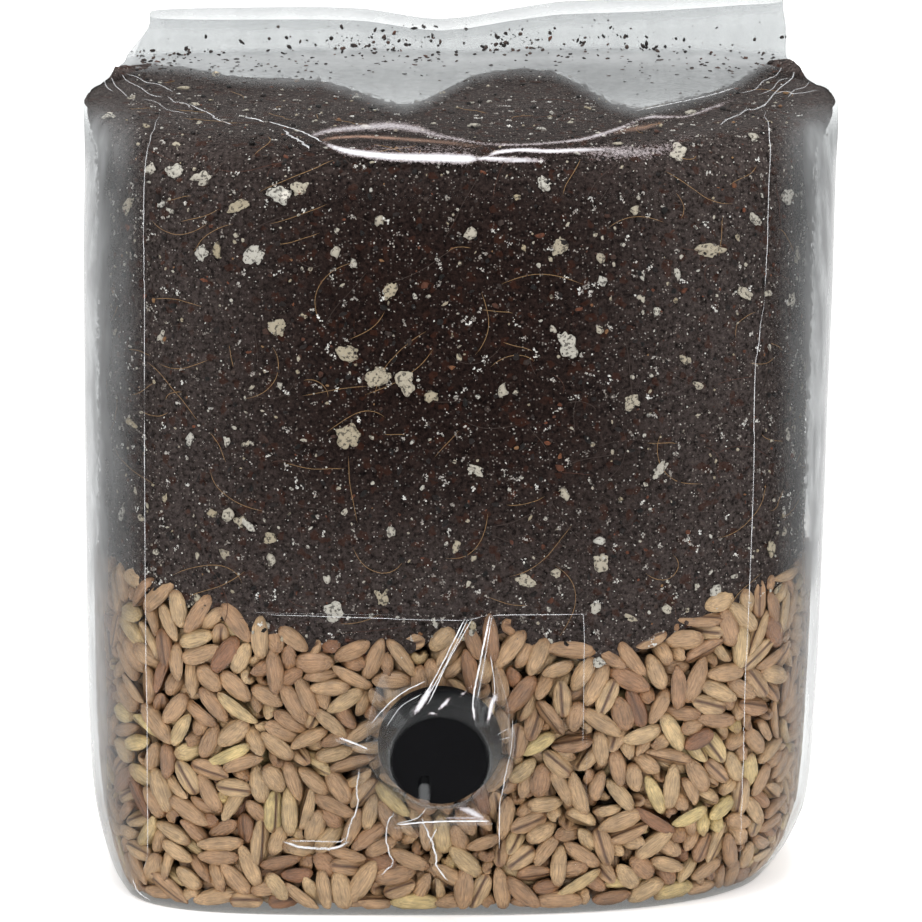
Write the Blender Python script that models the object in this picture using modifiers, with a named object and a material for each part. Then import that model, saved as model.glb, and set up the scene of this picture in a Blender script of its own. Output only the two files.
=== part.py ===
"""A small mushroom grow bag, filled and folded shut.

A gusseted bag of clear film stands on its base. Whole grain fills its lower part, a dark block of
coir and vermiculite lies on the grain, and the long neck is pressed flat, rises at the back and
folds down behind. A rubber stopper on the front is the injection port, held by a square of clear
tape, and a breathing filter covers the vent window in the folded neck.

The bag stands on z = 0 with its front towards -Y. Lengths are in millimetres, and MM turns them
into metres where the meshes are made.
"""

import math
from dataclasses import dataclass, replace

import bmesh
import bpy
import numpy as np
from mathutils import Matrix, Vector

MM = 0.001

# Bag film
FILM = 0.4
BODY_WIDTH = 117.6
FRONT_DEPTH = 46.0
BACK_DEPTH = 42.5
CREST_HEIGHT = 120.5
EAR_HEIGHT = 1.3
RING_POINTS = 40

# Neck of the bag, pressed flat and folded down behind the back
NECK_WIDTH = 101.6
NECK_THICKNESS = 2.4
NECK_OFFSET = 1.5
NECK_PLANE = 37.5
NECK_RISE = 8.0
NECK_TILT = 0.85
NECK_DIP = 1.9
NECK_DIP_PLACE = -3.0
NECK_DIP_WIDTH = 9.0
FOLD_RADIUS = 2.6
TAIL_LENGTH = 72.0
TAIL_GAP = 0.9
TAIL_BEND = 0.55
NECK_SQUARE = 5.0
FOLD_STEPS = 4

# Vent window in the folded neck, and the filter that covers it
WINDOW_WIDTH = 30.0
WINDOW_TOP = 20.0
WINDOW_HEIGHT = 30.0
FILTER_BORDER = 5.0
FILTER_THICKNESS = 0.5
FILTER_CORNER = 3.0
FILTER_CORNER_STEPS = 4

# Filling
FILL_CLEARANCE = 0.6
LAYER_GAP = 0.3
BED_MIDDLE = 43.0
BED_SIDE = 49.0
BED_REACH = 42.3
BED_WAVE = 1.1
BED_ROWS = 6
GRAIN_RELIEF = 1.1
CRUMB_RELIEF = 0.8
HEADROOM = 1.2
CROWN_CREST = 120.5
CROWN_FALL = 0.15
CROWN_BACK = 14.0
CROWN_BACK_FALL = 0.3
CROWN_RELIEF = 0.5
CROWN_EDGE = -36.0
CROWN_SETBACK = 1.8
CROWN_INSETS = (3.5, 8.0, 15.0, 24.0, 33.0)
BOUNDARY_SEED = 11
GRAIN_SEED = 50
SUBSTRATE_SEED = 80
CROWN_SEED = 95

# Injection port: a stopper with its flange on the film
PORT_HEIGHT = 26.5
PORT_OFFSET = -2.6
PORT_FLANGE_DIAMETER = 19.0
PORT_FLANGE = 2.0
PORT_PLUG_DIAMETER = 15.0
PORT_PLUG = 5.0
PORT_EDGE = 0.5
PORT_CHAMFER = 0.15
PORT_STEPS = 32
SLOT_WIDTH = 1.5
SLOT_LENGTH = 4.4
SLOT_DEPTH = 0.8
SLOT_OFFSET = -2.4
SLOT_ROUND = 8

# Clear tape over the port
TAPE = 0.25
TAPE_WIDTH = 50.8
TAPE_HEIGHT = 40.5
TAPE_SHIFT = -2.9
TENT_SPREAD = 1.8
TAPE_LIFT = 0.42
TAPE_RINGS = 3
TAPE_SIDE_POINTS = 8

# Gap between pieces that touch
SEAT_GAP = 0.3

COLLECTION_NAME = "mushroom_grow_bag"
CUTTER_COLLECTION_NAME = "cutters"


@dataclass(frozen=True)
class Section:
    """One closed outline of the bag: front and back points (y, z), side reach and squareness."""

    front: tuple
    back: tuple
    left: float
    right: float
    square: float
    right_square: float
    lift: float = 0.0
    tilt: float = 0.0
    dip: float = 0.0

    def squareness(self, across):
        """The squareness of the left or right half, by the sign of the place across."""
        return np.where(np.asarray(across) > 0, self.right_square, self.square)


def wall_sections():
    """Outlines of the upright walls, from the base to just under the front crest.

    Each row holds the height as a share of the crest height, then the front, back, left and right
    reach as shares of their full depth or half width, and the squareness of the outline's left and
    right halves. The right foot of the bag is rounder than the left one.
    """
    rows = (
        (0.000, 0.866, 0.885, 0.890, 0.830, 4.6, 2.50),
        (0.018, 0.884, 0.925, 0.918, 0.862, 4.3, 2.60),
        (0.050, 0.888, 0.948, 0.944, 0.902, 4.0, 2.80),
        (0.100, 0.888, 0.965, 0.970, 0.940, 3.7, 3.00),
        (0.160, 0.906, 0.975, 0.983, 0.953, 3.5, 3.15),
        (0.220, 0.937, 0.984, 0.988, 0.960, 3.4, 3.25),
        (0.280, 0.969, 0.990, 0.990, 0.966, 3.3, 3.25),
        (0.345, 0.989, 0.995, 0.991, 0.972, 3.2, 3.20),
        (0.460, 1.000, 1.000, 0.992, 0.981, 3.2, 3.20),
        (0.625, 0.999, 1.000, 0.992, 0.990, 3.2, 3.20),
        (0.775, 0.984, 0.989, 0.992, 1.000, 3.15, 3.15),
        (0.875, 0.956, 0.982, 0.992, 1.005, 3.05, 3.05),
    )
    half = BODY_WIDTH / 2
    return [
        Section(
            (-front * FRONT_DEPTH, height * CREST_HEIGHT),
            (back * BACK_DEPTH, height * CREST_HEIGHT),
            -left * half,
            right * half,
            square,
            right_square,
        )
        for height, front, back, left, right, square, right_square in rows
    ]


def top_sections():
    """Outlines that carry the front panel over the top, out to the ears of the side folds.

    The front point runs back over the filling while the back point only climbs, so each outline
    leans further, and the two sides draw in from the ears to the foot of the neck.
    """
    rows = (
        # front y share, front z, back y, back z, side z, left share, right share, squareness
        (-0.915, -8.0, 41.5, -13.0, -9.6, 0.993, 1.008, 3.02),
        (-0.872, -3.9, 41.3, -9.6, -4.4, 0.996, 1.012, 3.00),
        (-0.815, -1.5, 41.1, -7.0, -1.0, 0.999, 1.015, 3.00),
        (-0.720, -0.3, 40.9, -4.8, 0.9, 1.000, 1.016, 3.00),
        (-0.550, 0.3, 40.7, -3.0, EAR_HEIGHT, 0.990, 1.002, 3.00),
        (-0.220, 0.9, 40.4, -1.2, 1.2, 0.966, 0.974, 3.05),
        (0.170, 1.4, 40.1, 0.2, 1.1, 0.940, 0.944, 3.20),
        (0.480, 1.9, 39.7, 1.3, 1.2, 0.922, 0.922, 3.50),
        (0.680, 2.8, 39.3, 2.4, 1.6, 0.911, 0.908, 4.00),
        (0.765, 4.4, 39.0, 4.1, 2.6, 0.905, 0.902, 4.50),
    )
    half = BODY_WIDTH / 2
    return [
        Section(
            (front * FRONT_DEPTH, CREST_HEIGHT + front_z),
            (back_y, CREST_HEIGHT + back_z),
            -left * half,
            right * half,
            square,
            square,
            lift=side_z - (front_z + back_z) / 2,
        )
        for front, front_z, back_y, back_z, side_z, left, right, square in rows
    ]


def neck_section(middle, outward):
    """An outline of the flat neck. Its front panel lies on the outward side of the middle."""
    half = NECK_THICKNESS / 2
    return Section(
        (middle[0] + outward[0] * half, middle[1] + outward[1] * half),
        (middle[0] - outward[0] * half, middle[1] - outward[1] * half),
        NECK_OFFSET - NECK_WIDTH / 2,
        NECK_OFFSET + NECK_WIDTH / 2,
        NECK_SQUARE,
        NECK_SQUARE,
        tilt=NECK_TILT,
        dip=NECK_DIP,
    )


def tail_plane():
    """The y of the middle of the folded neck where it hangs flat behind the back wall."""
    return BACK_DEPTH + TAIL_GAP + NECK_THICKNESS / 2


def fold_start():
    """The height at which the neck starts to fold over."""
    return CREST_HEIGHT + NECK_RISE


def neck_sections():
    """Outlines up the neck, round the fold and down the tail to its sealed end."""
    start = fold_start()
    sections = [neck_section((NECK_PLANE, start), (-1.0, 0.0))]
    for step in range(1, FOLD_STEPS + 1):
        turn = math.pi * step / FOLD_STEPS
        outward = (-math.cos(turn), math.sin(turn))
        middle = (
            NECK_PLANE + FOLD_RADIUS + FOLD_RADIUS * outward[0],
            start + FOLD_RADIUS * outward[1],
        )
        sections.append(neck_section(middle, outward))
    after_fold = NECK_PLANE + 2 * FOLD_RADIUS
    window_top = start - WINDOW_TOP
    window_bottom = window_top - WINDOW_HEIGHT
    on_the_way = after_fold + (tail_plane() - after_fold) * TAIL_BEND
    heights = (
        (on_the_way, start - WINDOW_TOP * TAIL_BEND / 2),
        (tail_plane(), start - WINDOW_TOP * TAIL_BEND),
        (tail_plane(), window_top),
        (tail_plane(), (window_top + window_bottom) / 2),
        (tail_plane(), window_bottom),
        (tail_plane(), start - TAIL_LENGTH),
    )
    sections.extend(neck_section(middle, (1.0, 0.0)) for middle in heights)
    return sections


def powered(values, power):
    """Each value raised to the power with its sign kept."""
    return np.sign(values) * np.abs(values) ** power


def ring_angles():
    """Angles round an outline, from +X by the back, mirrored front to back."""
    return 2 * math.pi * np.arange(RING_POINTS) / RING_POINTS


def outline(section, inset=0.0):
    """The points of a section: a superellipse that leans from its front point to its back point.

    The inset draws the front, back and sides in by that much.
    """
    angles = ring_angles()
    square = section.squareness(np.cos(angles))
    across = powered(np.cos(angles), 2 / square)
    along = powered(np.sin(angles), 2 / square)
    middle_x = (section.left + section.right) / 2
    half_x = (section.right - section.left) / 2 - inset
    front = np.array(section.front)
    back = np.array(section.back)
    middle = (front + back) / 2
    reach = (back - front) / 2
    length = np.linalg.norm(reach)
    reach = reach * (length - inset) / length
    x = middle_x + half_x * across
    y = middle[0] + reach[0] * along
    z = middle[1] + reach[1] * along + section.lift * np.abs(across) ** 3
    z += section.tilt * across
    z -= section.dip * np.exp(-(((x - NECK_DIP_PLACE) / NECK_DIP_WIDTH) ** 2))
    return np.stack([x, y, z], axis=1)


def wall_at(height):
    """The wall section at a height, between the listed ones."""
    sections = wall_sections()
    heights = [section.front[1] for section in sections]

    def between(values):
        return float(np.interp(height, heights, values))

    return Section(
        (between([section.front[0] for section in sections]), height),
        (between([section.back[0] for section in sections]), height),
        between([section.left for section in sections]),
        between([section.right for section in sections]),
        between([section.square for section in sections]),
        between([section.right_square for section in sections]),
    )


def front_point(x, height):
    """The point of the front wall's outer face at this x and height."""
    section = wall_at(height)
    middle_x = (section.left + section.right) / 2
    half_x = (section.right - section.left) / 2
    square = float(section.squareness(x - middle_x))
    across = min(abs(x - middle_x) / half_x, 1.0)
    along = -((1 - across**square) ** (1 / square))
    front, back = section.front[0], section.back[0]
    return Vector((x, (front + back) / 2 + (back - front) / 2 * along, height))


def front_normal(x, height, step=1.0):
    """The outward direction of the front wall at this x and height."""
    sideways = front_point(x + step, height) - front_point(x - step, height)
    upwards = front_point(x, height + step) - front_point(x, height - step)
    return sideways.cross(upwards).normalized()


def bed_surface(x, y):
    """The height at which the grain ends: higher at the two sides, with gentle waves."""
    rise = (BED_SIDE - BED_MIDDLE) * np.clip(np.abs(x) / BED_REACH, 0, 1) ** 2
    wave = np.sin(x / 8.3 + 0.6) * np.cos(y / 11.7 + 0.4) + 0.6 * np.sin(x / 4.1 - y / 6.3)
    return BED_MIDDLE + rise + BED_WAVE * wave / 2


def new_object(name, vertices, faces, material):
    """A mesh object in metres from points in millimetres, in the bag's collection."""
    mesh = bpy.data.meshes.new(name)
    points = [tuple(float(value) * MM for value in point) for point in vertices]
    mesh.from_pydata(points, [], [tuple(int(index) for index in face) for face in faces])
    mesh.materials.append(material)
    obj = bpy.data.objects.new(name, mesh)
    bpy.data.collections[COLLECTION_NAME].objects.link(obj)
    return obj


def add_solidify(obj, thickness, offset):
    """A Solidify modifier of this thickness in millimetres. An offset of -1 goes inwards."""
    modifier = obj.modifiers.new("Wall", "SOLIDIFY")
    modifier.thickness = thickness * MM
    modifier.offset = offset


def ring_faces(lower, upper):
    """Triangles between two rings that start at these vertex numbers, the second one further on.

    All lofts split their leaning quads the same way, so that a piece inside another stays clear.
    """
    faces = []
    for here in range(RING_POINTS):
        there = (here + 1) % RING_POINTS
        faces.append((lower + here, lower + there, upper + there))
        faces.append((lower + here, upper + there, upper + here))
    return faces


def cap_faces(first, facing_on):
    """Strips across a ring from its back to its front points, facing on along the loft or back."""
    half = RING_POINTS // 2
    faces = []
    for step in range(half):
        back = [first + step, first + step + 1]
        front = [
            first + (RING_POINTS - step - 1) % RING_POINTS,
            first + (RING_POINTS - step) % RING_POINTS,
        ]
        corners = list(dict.fromkeys(back + front))
        faces.append(tuple(corners if facing_on else corners[::-1]))
    return faces


def window_middle():
    """The middle of the vent window, in the plane of the folded neck."""
    return Vector((NECK_OFFSET, tail_plane(), fold_start() - WINDOW_TOP - WINDOW_HEIGHT / 2))


def add_cutter(name, mesh, place):
    """A hidden cutter object with this mesh and place."""
    cutter = bpy.data.objects.new(name, mesh)
    cutter.matrix_world = place
    cutter.hide_render = True
    cutter.display_type = "WIRE"
    bpy.data.collections[CUTTER_COLLECTION_NAME].objects.link(cutter)
    return cutter


def build_window_cutter():
    """The block that cuts the vent window through the outer panel of the folded neck alone."""
    mesh = bpy.data.meshes.new("window_cutter")
    work = bmesh.new()
    bmesh.ops.create_cube(work, size=1.0)
    size = Vector((WINDOW_WIDTH, NECK_THICKNESS, WINDOW_HEIGHT)) * MM
    bmesh.ops.scale(work, verts=work.verts, vec=size)
    work.to_mesh(mesh)
    work.free()
    middle = window_middle() + Vector((0.0, NECK_THICKNESS / 2, 0.0))
    return add_cutter("window_cutter", mesh, Matrix.Translation(middle * MM))


def build_bag_film(material):
    """The film bag: one loft from the base, over the top, up the neck and down the tail."""
    sections = wall_sections() + top_sections() + neck_sections()
    rings = [outline(section) for section in sections]
    faces = cap_faces(0, facing_on=False)
    for index in range(len(rings) - 1):
        faces += ring_faces(index * RING_POINTS, (index + 1) * RING_POINTS)
    faces += cap_faces((len(rings) - 1) * RING_POINTS, facing_on=True)
    obj = new_object("bag_film", np.concatenate(rings), faces, material)
    add_solidify(obj, FILM, offset=-1.0)
    window = obj.modifiers.new("Window", "BOOLEAN")
    window.operation = "DIFFERENCE"
    window.object = build_window_cutter()
    return obj


def rows_across(ring, rows):
    """Points from the back to the front of a ring, with a row for each pair of its points."""
    half = RING_POINTS // 2
    back = ring[1:half]
    front = ring[:half:-1]
    share = (np.arange(1, rows) / rows)[None, :, None]
    return back[:, None, :] * (1 - share) + front[:, None, :] * share


def grid_cap(ring_start, inner_start, rows, facing_up):
    """Faces that join a ring to the rows of points across it."""
    half = RING_POINTS // 2
    columns = []
    for step in range(half + 1):
        if step in (0, half):
            columns.append([ring_start + step])
            continue
        inner = inner_start + (step - 1) * (rows - 1)
        first = [ring_start + step]
        last = [ring_start + RING_POINTS - step]
        columns.append(first + list(range(inner, inner + rows - 1)) + last)
    faces = []
    for here, there in zip(columns, columns[1:]):
        if len(here) == 1:
            faces += [(here[0], low, high) for low, high in zip(there, there[1:])]
        elif len(there) == 1:
            faces += [(high, low, there[0]) for low, high in zip(here, here[1:])]
        else:
            for (low, high), (next_low, next_high) in zip(zip(here, here[1:]), zip(there, there[1:])):
                faces += [(high, low, next_low), (high, next_low, next_high)]
    return faces if facing_up else [face[::-1] for face in faces]


def filling_ring(section, relief, seed):
    """An outline inside the film, pushed in at random as the lumps of the filling do."""
    draw = np.random.default_rng(seed)
    ring = outline(section, FILM + FILL_CLEARANCE)
    middle = ring.mean(axis=0)
    inward = middle - ring
    inward[:, 2] = 0
    inward /= np.linalg.norm(inward, axis=1, keepdims=True)
    return ring + inward * relief * draw.random((RING_POINTS, 1))


def boundary_ring():
    """The ring where the grain meets the substrate, at the height of the bed's surface.

    Each point is taken from the wall's outline at that point's own height.
    """
    level = filling_ring(wall_at((BED_MIDDLE + BED_SIDE) / 2), GRAIN_RELIEF, BOUNDARY_SEED)
    heights = bed_surface(level[:, 0], level[:, 1])
    ring = np.empty_like(level)
    for index, height in enumerate(heights):
        ring[index] = filling_ring(wall_at(float(height)), GRAIN_RELIEF, BOUNDARY_SEED)[index]
    ring[:, 2] = bed_surface(ring[:, 0], ring[:, 1])
    return ring


def boundary_rows():
    """The rows of points across the surface where the grain meets the substrate."""
    rows = rows_across(boundary_ring(), BED_ROWS).reshape(-1, 3)
    rows[:, 2] = bed_surface(rows[:, 0], rows[:, 1])
    return rows


def build_grain_bed(material):
    """The grain: rings up the inside of the film and a waved top."""
    floor = FILM + SEAT_GAP
    shares = (0.0, 0.05, 0.13, 0.25, 0.4, 0.58, 0.78)
    limit = (BED_MIDDLE + BED_SIDE) / 2
    rings = []
    for step, share in enumerate(shares):
        height = floor + (limit - floor) * share
        ring = filling_ring(wall_at(height), GRAIN_RELIEF if share else 0.0, GRAIN_SEED + step)
        top = bed_surface(ring[:, 0], ring[:, 1])
        ring[:, 2] = floor + (top - floor) * share
        rings.append(ring)
    rings.append(boundary_ring())
    faces = cap_faces(0, facing_on=False)
    for index in range(len(rings) - 1):
        faces += ring_faces(index * RING_POINTS, (index + 1) * RING_POINTS)
    last = (len(rings) - 1) * RING_POINTS
    faces += grid_cap(last, last + RING_POINTS, BED_ROWS, facing_up=True)
    return new_object("grain_bed", np.concatenate(rings + [boundary_rows()]), faces, material)


def crown_height(x, y):
    """The height of the filling's top: a rise at each side, a hump and two valleys between.

    The film stands off the filling over the valleys. Each row holds a place from side to side and
    the height there in the middle of the bag's depth, and the top falls gently towards the back.
    """
    rows = (
        (-54.0, 126.2),
        (-41.0, 125.6),
        (-22.0, 124.0),
        (-13.0, 120.8),
        (-8.5, 119.9),
        (-4.5, 121.2),
        (1.5, 124.6),
        (9.5, 126.0),
        (17.0, 124.3),
        (23.5, 120.5),
        (28.0, 119.4),
        (36.0, 121.3),
        (43.0, 123.5),
        (48.0, 126.8),
        (54.0, 127.4),
    )
    places, heights = zip(*rows)
    rise = CREST_HEIGHT - CROWN_CREST
    behind = np.maximum(y - CROWN_BACK, 0.0)
    return np.interp(x, places, heights) + rise - CROWN_FALL * y - CROWN_BACK_FALL * behind


def top_height(y):
    """The height of the film's top along the middle of the bag."""
    fronts = [section.front for section in top_sections()]
    return np.interp(y, [front[0] for front in fronts], [front[1] for front in fronts])


def crown_rings():
    """Rings of the substrate's top: level ones up its shoulder, then ones drawn in to its middle.

    No point is higher than the film's top, less the headroom, or than the crown.
    """
    shoulder = [section for section in top_sections() if section.front[0] < CROWN_EDGE]
    rings = []
    for section in shoulder:
        level = section.front[1]
        back = (BACK_DEPTH - CROWN_SETBACK, level)
        rim = replace(section, back=back, lift=0.0)
        rings.append(filling_ring(rim, CROWN_RELIEF, CROWN_SEED + len(rings)))
    rim = replace(shoulder[-1], back=(BACK_DEPTH - CROWN_SETBACK, shoulder[-1].front[1]), lift=0.0)
    for inset in CROWN_INSETS:
        ring = outline(rim, inset)
        ring[:, 2] = CREST_HEIGHT + EAR_HEIGHT
        rings.append(ring)
    for ring in rings:
        crown = crown_height(ring[:, 0], ring[:, 1])
        limit = np.minimum(crown, top_height(ring[:, 1])) - HEADROOM
        ring[:, 2] = np.minimum(ring[:, 2], limit)
    return rings


def build_substrate_block(material):
    """The coir and vermiculite: from the grain's waved top to a crown under the film."""
    lift = np.array([0.0, 0.0, LAYER_GAP])
    rings = [boundary_ring() + lift]
    low = BED_SIDE + BED_WAVE + LAYER_GAP
    high = wall_sections()[-1].front[1]
    for step, share in enumerate((0.14, 0.32, 0.50, 0.68, 0.84, 1.0)):
        section = wall_at(low + (high - low) * share)
        rings.append(filling_ring(section, CRUMB_RELIEF, SUBSTRATE_SEED + step))
    rings += crown_rings()
    faces = grid_cap(0, len(rings) * RING_POINTS, BED_ROWS, facing_up=False)
    for index in range(len(rings) - 1):
        faces += ring_faces(index * RING_POINTS, (index + 1) * RING_POINTS)
    faces += cap_faces((len(rings) - 1) * RING_POINTS, facing_on=True)
    points = np.concatenate(rings + [boundary_rows() + lift])
    return new_object("substrate_block", points, faces, material)


def port_frame():
    """The place and turn of the port: its own +Z runs outwards from the film, +X stays level."""
    normal = front_normal(PORT_OFFSET, PORT_HEIGHT)
    level = Vector((1.0, 0.0, 0.0))
    up = normal.cross(level).normalized()
    level = up.cross(normal)
    turn = Matrix((level, up, normal)).transposed().to_4x4()
    return Matrix.Translation(front_point(PORT_OFFSET, PORT_HEIGHT)) @ turn


def port_standoff():
    """How far the flange stands off the tangent plane, so that it clears the bulging film."""
    frame = port_frame()
    back = frame.inverted()
    radius = PORT_FLANGE_DIAMETER / 2
    highest = 0.0
    for step in range(PORT_STEPS):
        turn = math.tau * step / PORT_STEPS
        rim = frame @ Vector((radius * math.cos(turn), radius * math.sin(turn), 0.0))
        highest = max(highest, (back @ front_point(rim.x, rim.z)).z)
    return highest + SEAT_GAP


def port_matrix():
    """The port's place in metres, with its flange at its standoff from the film."""
    frame = port_frame() @ Matrix.Translation((0.0, 0.0, port_standoff()))
    place = frame.copy()
    place.translation = frame.translation * MM
    return place


def build_slot_cutter():
    """The round-ended bar that cuts the slot in the plug's face."""
    half = SLOT_WIDTH / 2
    reach = PORT_PLUG_DIAMETER / 2
    mesh = bpy.data.meshes.new("slot_cutter")
    work = bmesh.new()
    floor_height = PORT_FLANGE + PORT_PLUG - SLOT_DEPTH
    corners = [(SLOT_OFFSET + half, -reach), (SLOT_OFFSET - half, -reach)]
    tip = SLOT_LENGTH - half - math.sqrt(reach**2 - SLOT_OFFSET**2)
    for step in range(SLOT_ROUND + 1):
        turn = math.pi - math.pi * step / SLOT_ROUND
        corners.append((SLOT_OFFSET + half * math.cos(turn), tip + half * math.sin(turn)))
    floor = [work.verts.new(Vector((x, y, floor_height)) * MM) for x, y in corners]
    base = work.faces.new(floor)
    raised = bmesh.ops.extrude_face_region(work, geom=[base])
    lifted = [item for item in raised["geom"] if isinstance(item, bmesh.types.BMVert)]
    bmesh.ops.translate(work, verts=lifted, vec=(0, 0, 2 * SLOT_DEPTH * MM))
    bmesh.ops.recalc_face_normals(work, faces=work.faces)
    work.to_mesh(mesh)
    work.free()
    return add_cutter("slot_cutter", mesh, port_matrix())


def build_injection_port(material):
    """The rubber stopper: a turned flange and plug, with a slot in the plug's face."""
    flange = PORT_FLANGE_DIAMETER / 2
    plug = PORT_PLUG_DIAMETER / 2
    top = PORT_FLANGE + PORT_PLUG
    profile = (
        (0.0, top),
        (plug - PORT_EDGE, top),
        (plug - PORT_CHAMFER, top - PORT_CHAMFER),
        (plug, top - PORT_EDGE),
        (plug, PORT_FLANGE),
        (flange - PORT_EDGE, PORT_FLANGE),
        (flange, PORT_FLANGE - PORT_EDGE),
        (flange, 0.0),
        (0.0, 0.0),
    )
    mesh = bpy.data.meshes.new("injection_port")
    points = [(radius * MM, 0.0, height * MM) for radius, height in profile]
    mesh.from_pydata(points, [(index, index + 1) for index in range(len(points) - 1)], [])
    mesh.materials.append(material)
    obj = bpy.data.objects.new("injection_port", mesh)
    bpy.data.collections[COLLECTION_NAME].objects.link(obj)
    screw = obj.modifiers.new("Turn", "SCREW")
    screw.axis = "Z"
    screw.angle = math.tau
    screw.steps = PORT_STEPS
    screw.render_steps = PORT_STEPS
    screw.use_merge_vertices = True
    screw.merge_threshold = 0.00001
    obj.matrix_world = port_matrix()
    cut = obj.modifiers.new("Slot", "BOOLEAN")
    cut.operation = "DIFFERENCE"
    cut.object = build_slot_cutter()
    return obj


def tape_outline():
    """The tape's corners and edge points from the port's axis: (level, upward) pairs."""
    left = TAPE_SHIFT - TAPE_WIDTH / 2
    right = TAPE_SHIFT + TAPE_WIDTH / 2
    low = -TAPE_HEIGHT / 2
    high = TAPE_HEIGHT / 2
    corners = [Vector((left, low)), Vector((right, low)), Vector((right, high)), Vector((left, high))]
    points = []
    for here, there in zip(corners, corners[1:] + corners[:1]):
        for step in range(TAPE_SIDE_POINTS):
            points.append(here.lerp(there, step / TAPE_SIDE_POINTS))
    return points


def tape_point(level, upward, height):
    """A point this far off the film, at these distances from the port's axis."""
    x = PORT_OFFSET + level
    z = PORT_HEIGHT + upward
    return front_point(x, z) + front_normal(x, z) * height


def build_port_tape(material):
    """The tape: a tent over the stopper that lands round its flange and lies on the film."""
    plug = PORT_PLUG_DIAMETER / 2 + SEAT_GAP
    foot = PORT_FLANGE_DIAMETER / 2 + TENT_SPREAD
    crown = port_standoff() + PORT_FLANGE + PORT_PLUG + SEAT_GAP
    outer = tape_outline()
    rays = [point.normalized() for point in outer]
    frame = port_frame()
    points = [frame @ Vector((0.0, 0.0, crown))]
    for radius in (plug / 2, plug):
        points += [frame @ Vector((ray.x * radius, ray.y * radius, crown)) for ray in rays]
    middle = (plug + foot) / 2
    lean = (crown + TAPE_LIFT) / 2
    points += [frame @ Vector((ray.x * middle, ray.y * middle, lean)) for ray in rays]
    for ring in range(TAPE_RINGS + 1):
        for ray, edge in zip(rays, outer):
            place = (ray * foot).lerp(edge, ring / TAPE_RINGS)
            points.append(tape_point(place.x, place.y, TAPE_LIFT))
    count = len(rays)
    ahead = [(index + 1) % count for index in range(count)]
    faces = [(0, 1 + index, 1 + ahead[index]) for index in range(count)]
    rings = (len(points) - 1) // count
    for ring in range(rings - 1):
        inner = 1 + ring * count
        rim = inner + count
        faces += [
            (inner + index, rim + index, rim + ahead[index], inner + ahead[index])
            for index in range(count)
        ]
    obj = new_object("port_tape", points, faces, material)
    add_solidify(obj, TAPE, offset=1.0)
    return obj


def build_filter_patch(material):
    """The breathing filter: a thin square with rounded corners over the vent window."""
    width = WINDOW_WIDTH + 2 * FILTER_BORDER
    height = WINDOW_HEIGHT + 2 * FILTER_BORDER
    mesh = bpy.data.meshes.new("filter_patch")
    work = bmesh.new()
    bmesh.ops.create_cube(work, size=1.0)
    bmesh.ops.scale(work, verts=work.verts, vec=(width * MM, FILTER_THICKNESS * MM, height * MM))
    upright = [
        edge
        for edge in work.edges
        if abs(edge.verts[0].co.y - edge.verts[1].co.y) > FILTER_THICKNESS * MM / 2
    ]
    bmesh.ops.bevel(
        work,
        geom=upright,
        offset=FILTER_CORNER * MM,
        segments=FILTER_CORNER_STEPS,
        profile=0.5,
        affect="EDGES",
    )
    work.to_mesh(mesh)
    work.free()
    mesh.materials.append(material)
    obj = bpy.data.objects.new("filter_patch", mesh)
    bpy.data.collections[COLLECTION_NAME].objects.link(obj)
    standoff = NECK_THICKNESS / 2 + SEAT_GAP + FILTER_THICKNESS / 2
    obj.location = (window_middle() + Vector((0.0, standoff, 0.0))) * MM
    return obj


def principled(name, colour, roughness, metallic=0.0, alpha=1.0):
    """A material from its colour, roughness and metallic value."""
    material = bpy.data.materials.new(name)
    material.use_nodes = True
    shader = material.node_tree.nodes["Principled BSDF"]
    shader.inputs["Base Color"].default_value = (*colour, 1.0)
    shader.inputs["Roughness"].default_value = roughness
    shader.inputs["Metallic"].default_value = metallic
    shader.inputs["Alpha"].default_value = alpha
    return material


def clear_scene():
    """Removes every object, and makes the two collections anew."""
    for obj in list(bpy.data.objects):
        bpy.data.objects.remove(obj, do_unlink=True)
    for name in (COLLECTION_NAME, CUTTER_COLLECTION_NAME):
        collection = bpy.data.collections.new(name)
        bpy.context.scene.collection.children.link(collection)


def centre_on_base(objects):
    """Moves the whole bag so that the middle of its footprint lies on the Z axis."""
    bpy.context.view_layer.update()
    graph = bpy.context.evaluated_depsgraph_get()
    corners = []
    for obj in objects:
        evaluated = obj.evaluated_get(graph)
        corners += [evaluated.matrix_world @ Vector(corner) for corner in evaluated.bound_box]
    middle_x = (min(corner.x for corner in corners) + max(corner.x for corner in corners)) / 2
    middle_y = (min(corner.y for corner in corners) + max(corner.y for corner in corners)) / 2
    for obj in bpy.data.objects:
        obj.location.x -= middle_x
        obj.location.y -= middle_y


def main():
    """Builds the bag, its filling, its port and its filter."""
    clear_scene()
    film = principled("clear_polypropylene_film", (0.80, 0.82, 0.82), 0.08, alpha=0.35)
    grain = principled("soaked_wheat_grain", (0.42, 0.25, 0.12), 0.45)
    coir = principled("coir_and_vermiculite", (0.022, 0.014, 0.012), 0.9)
    rubber = principled("black_butyl_rubber", (0.008, 0.008, 0.009), 0.4)
    tape = principled("clear_tape", (0.85, 0.85, 0.85), 0.1, alpha=0.35)
    filter_cloth = principled("white_filter_cloth", (0.82, 0.82, 0.80), 0.8)
    pieces = [
        build_bag_film(film),
        build_grain_bed(grain),
        build_substrate_block(coir),
        build_injection_port(rubber),
        build_port_tape(tape),
        build_filter_patch(filter_cloth),
    ]
    centre_on_base(pieces)


main()
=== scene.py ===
"""Looks of a small mushroom grow bag: clear film over whole grain and a dark coir block.

The bag's film is one thin closed surface, lofted from the same outlines as its solid. Grain kernels,
coir crumb, fibres and vermiculite flakes are real meshes behind it. Lengths are in millimetres in the
row frame, and MM turns them into metres where a mesh is made.
"""

import logging
import math
from dataclasses import dataclass
from enum import Enum

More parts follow.
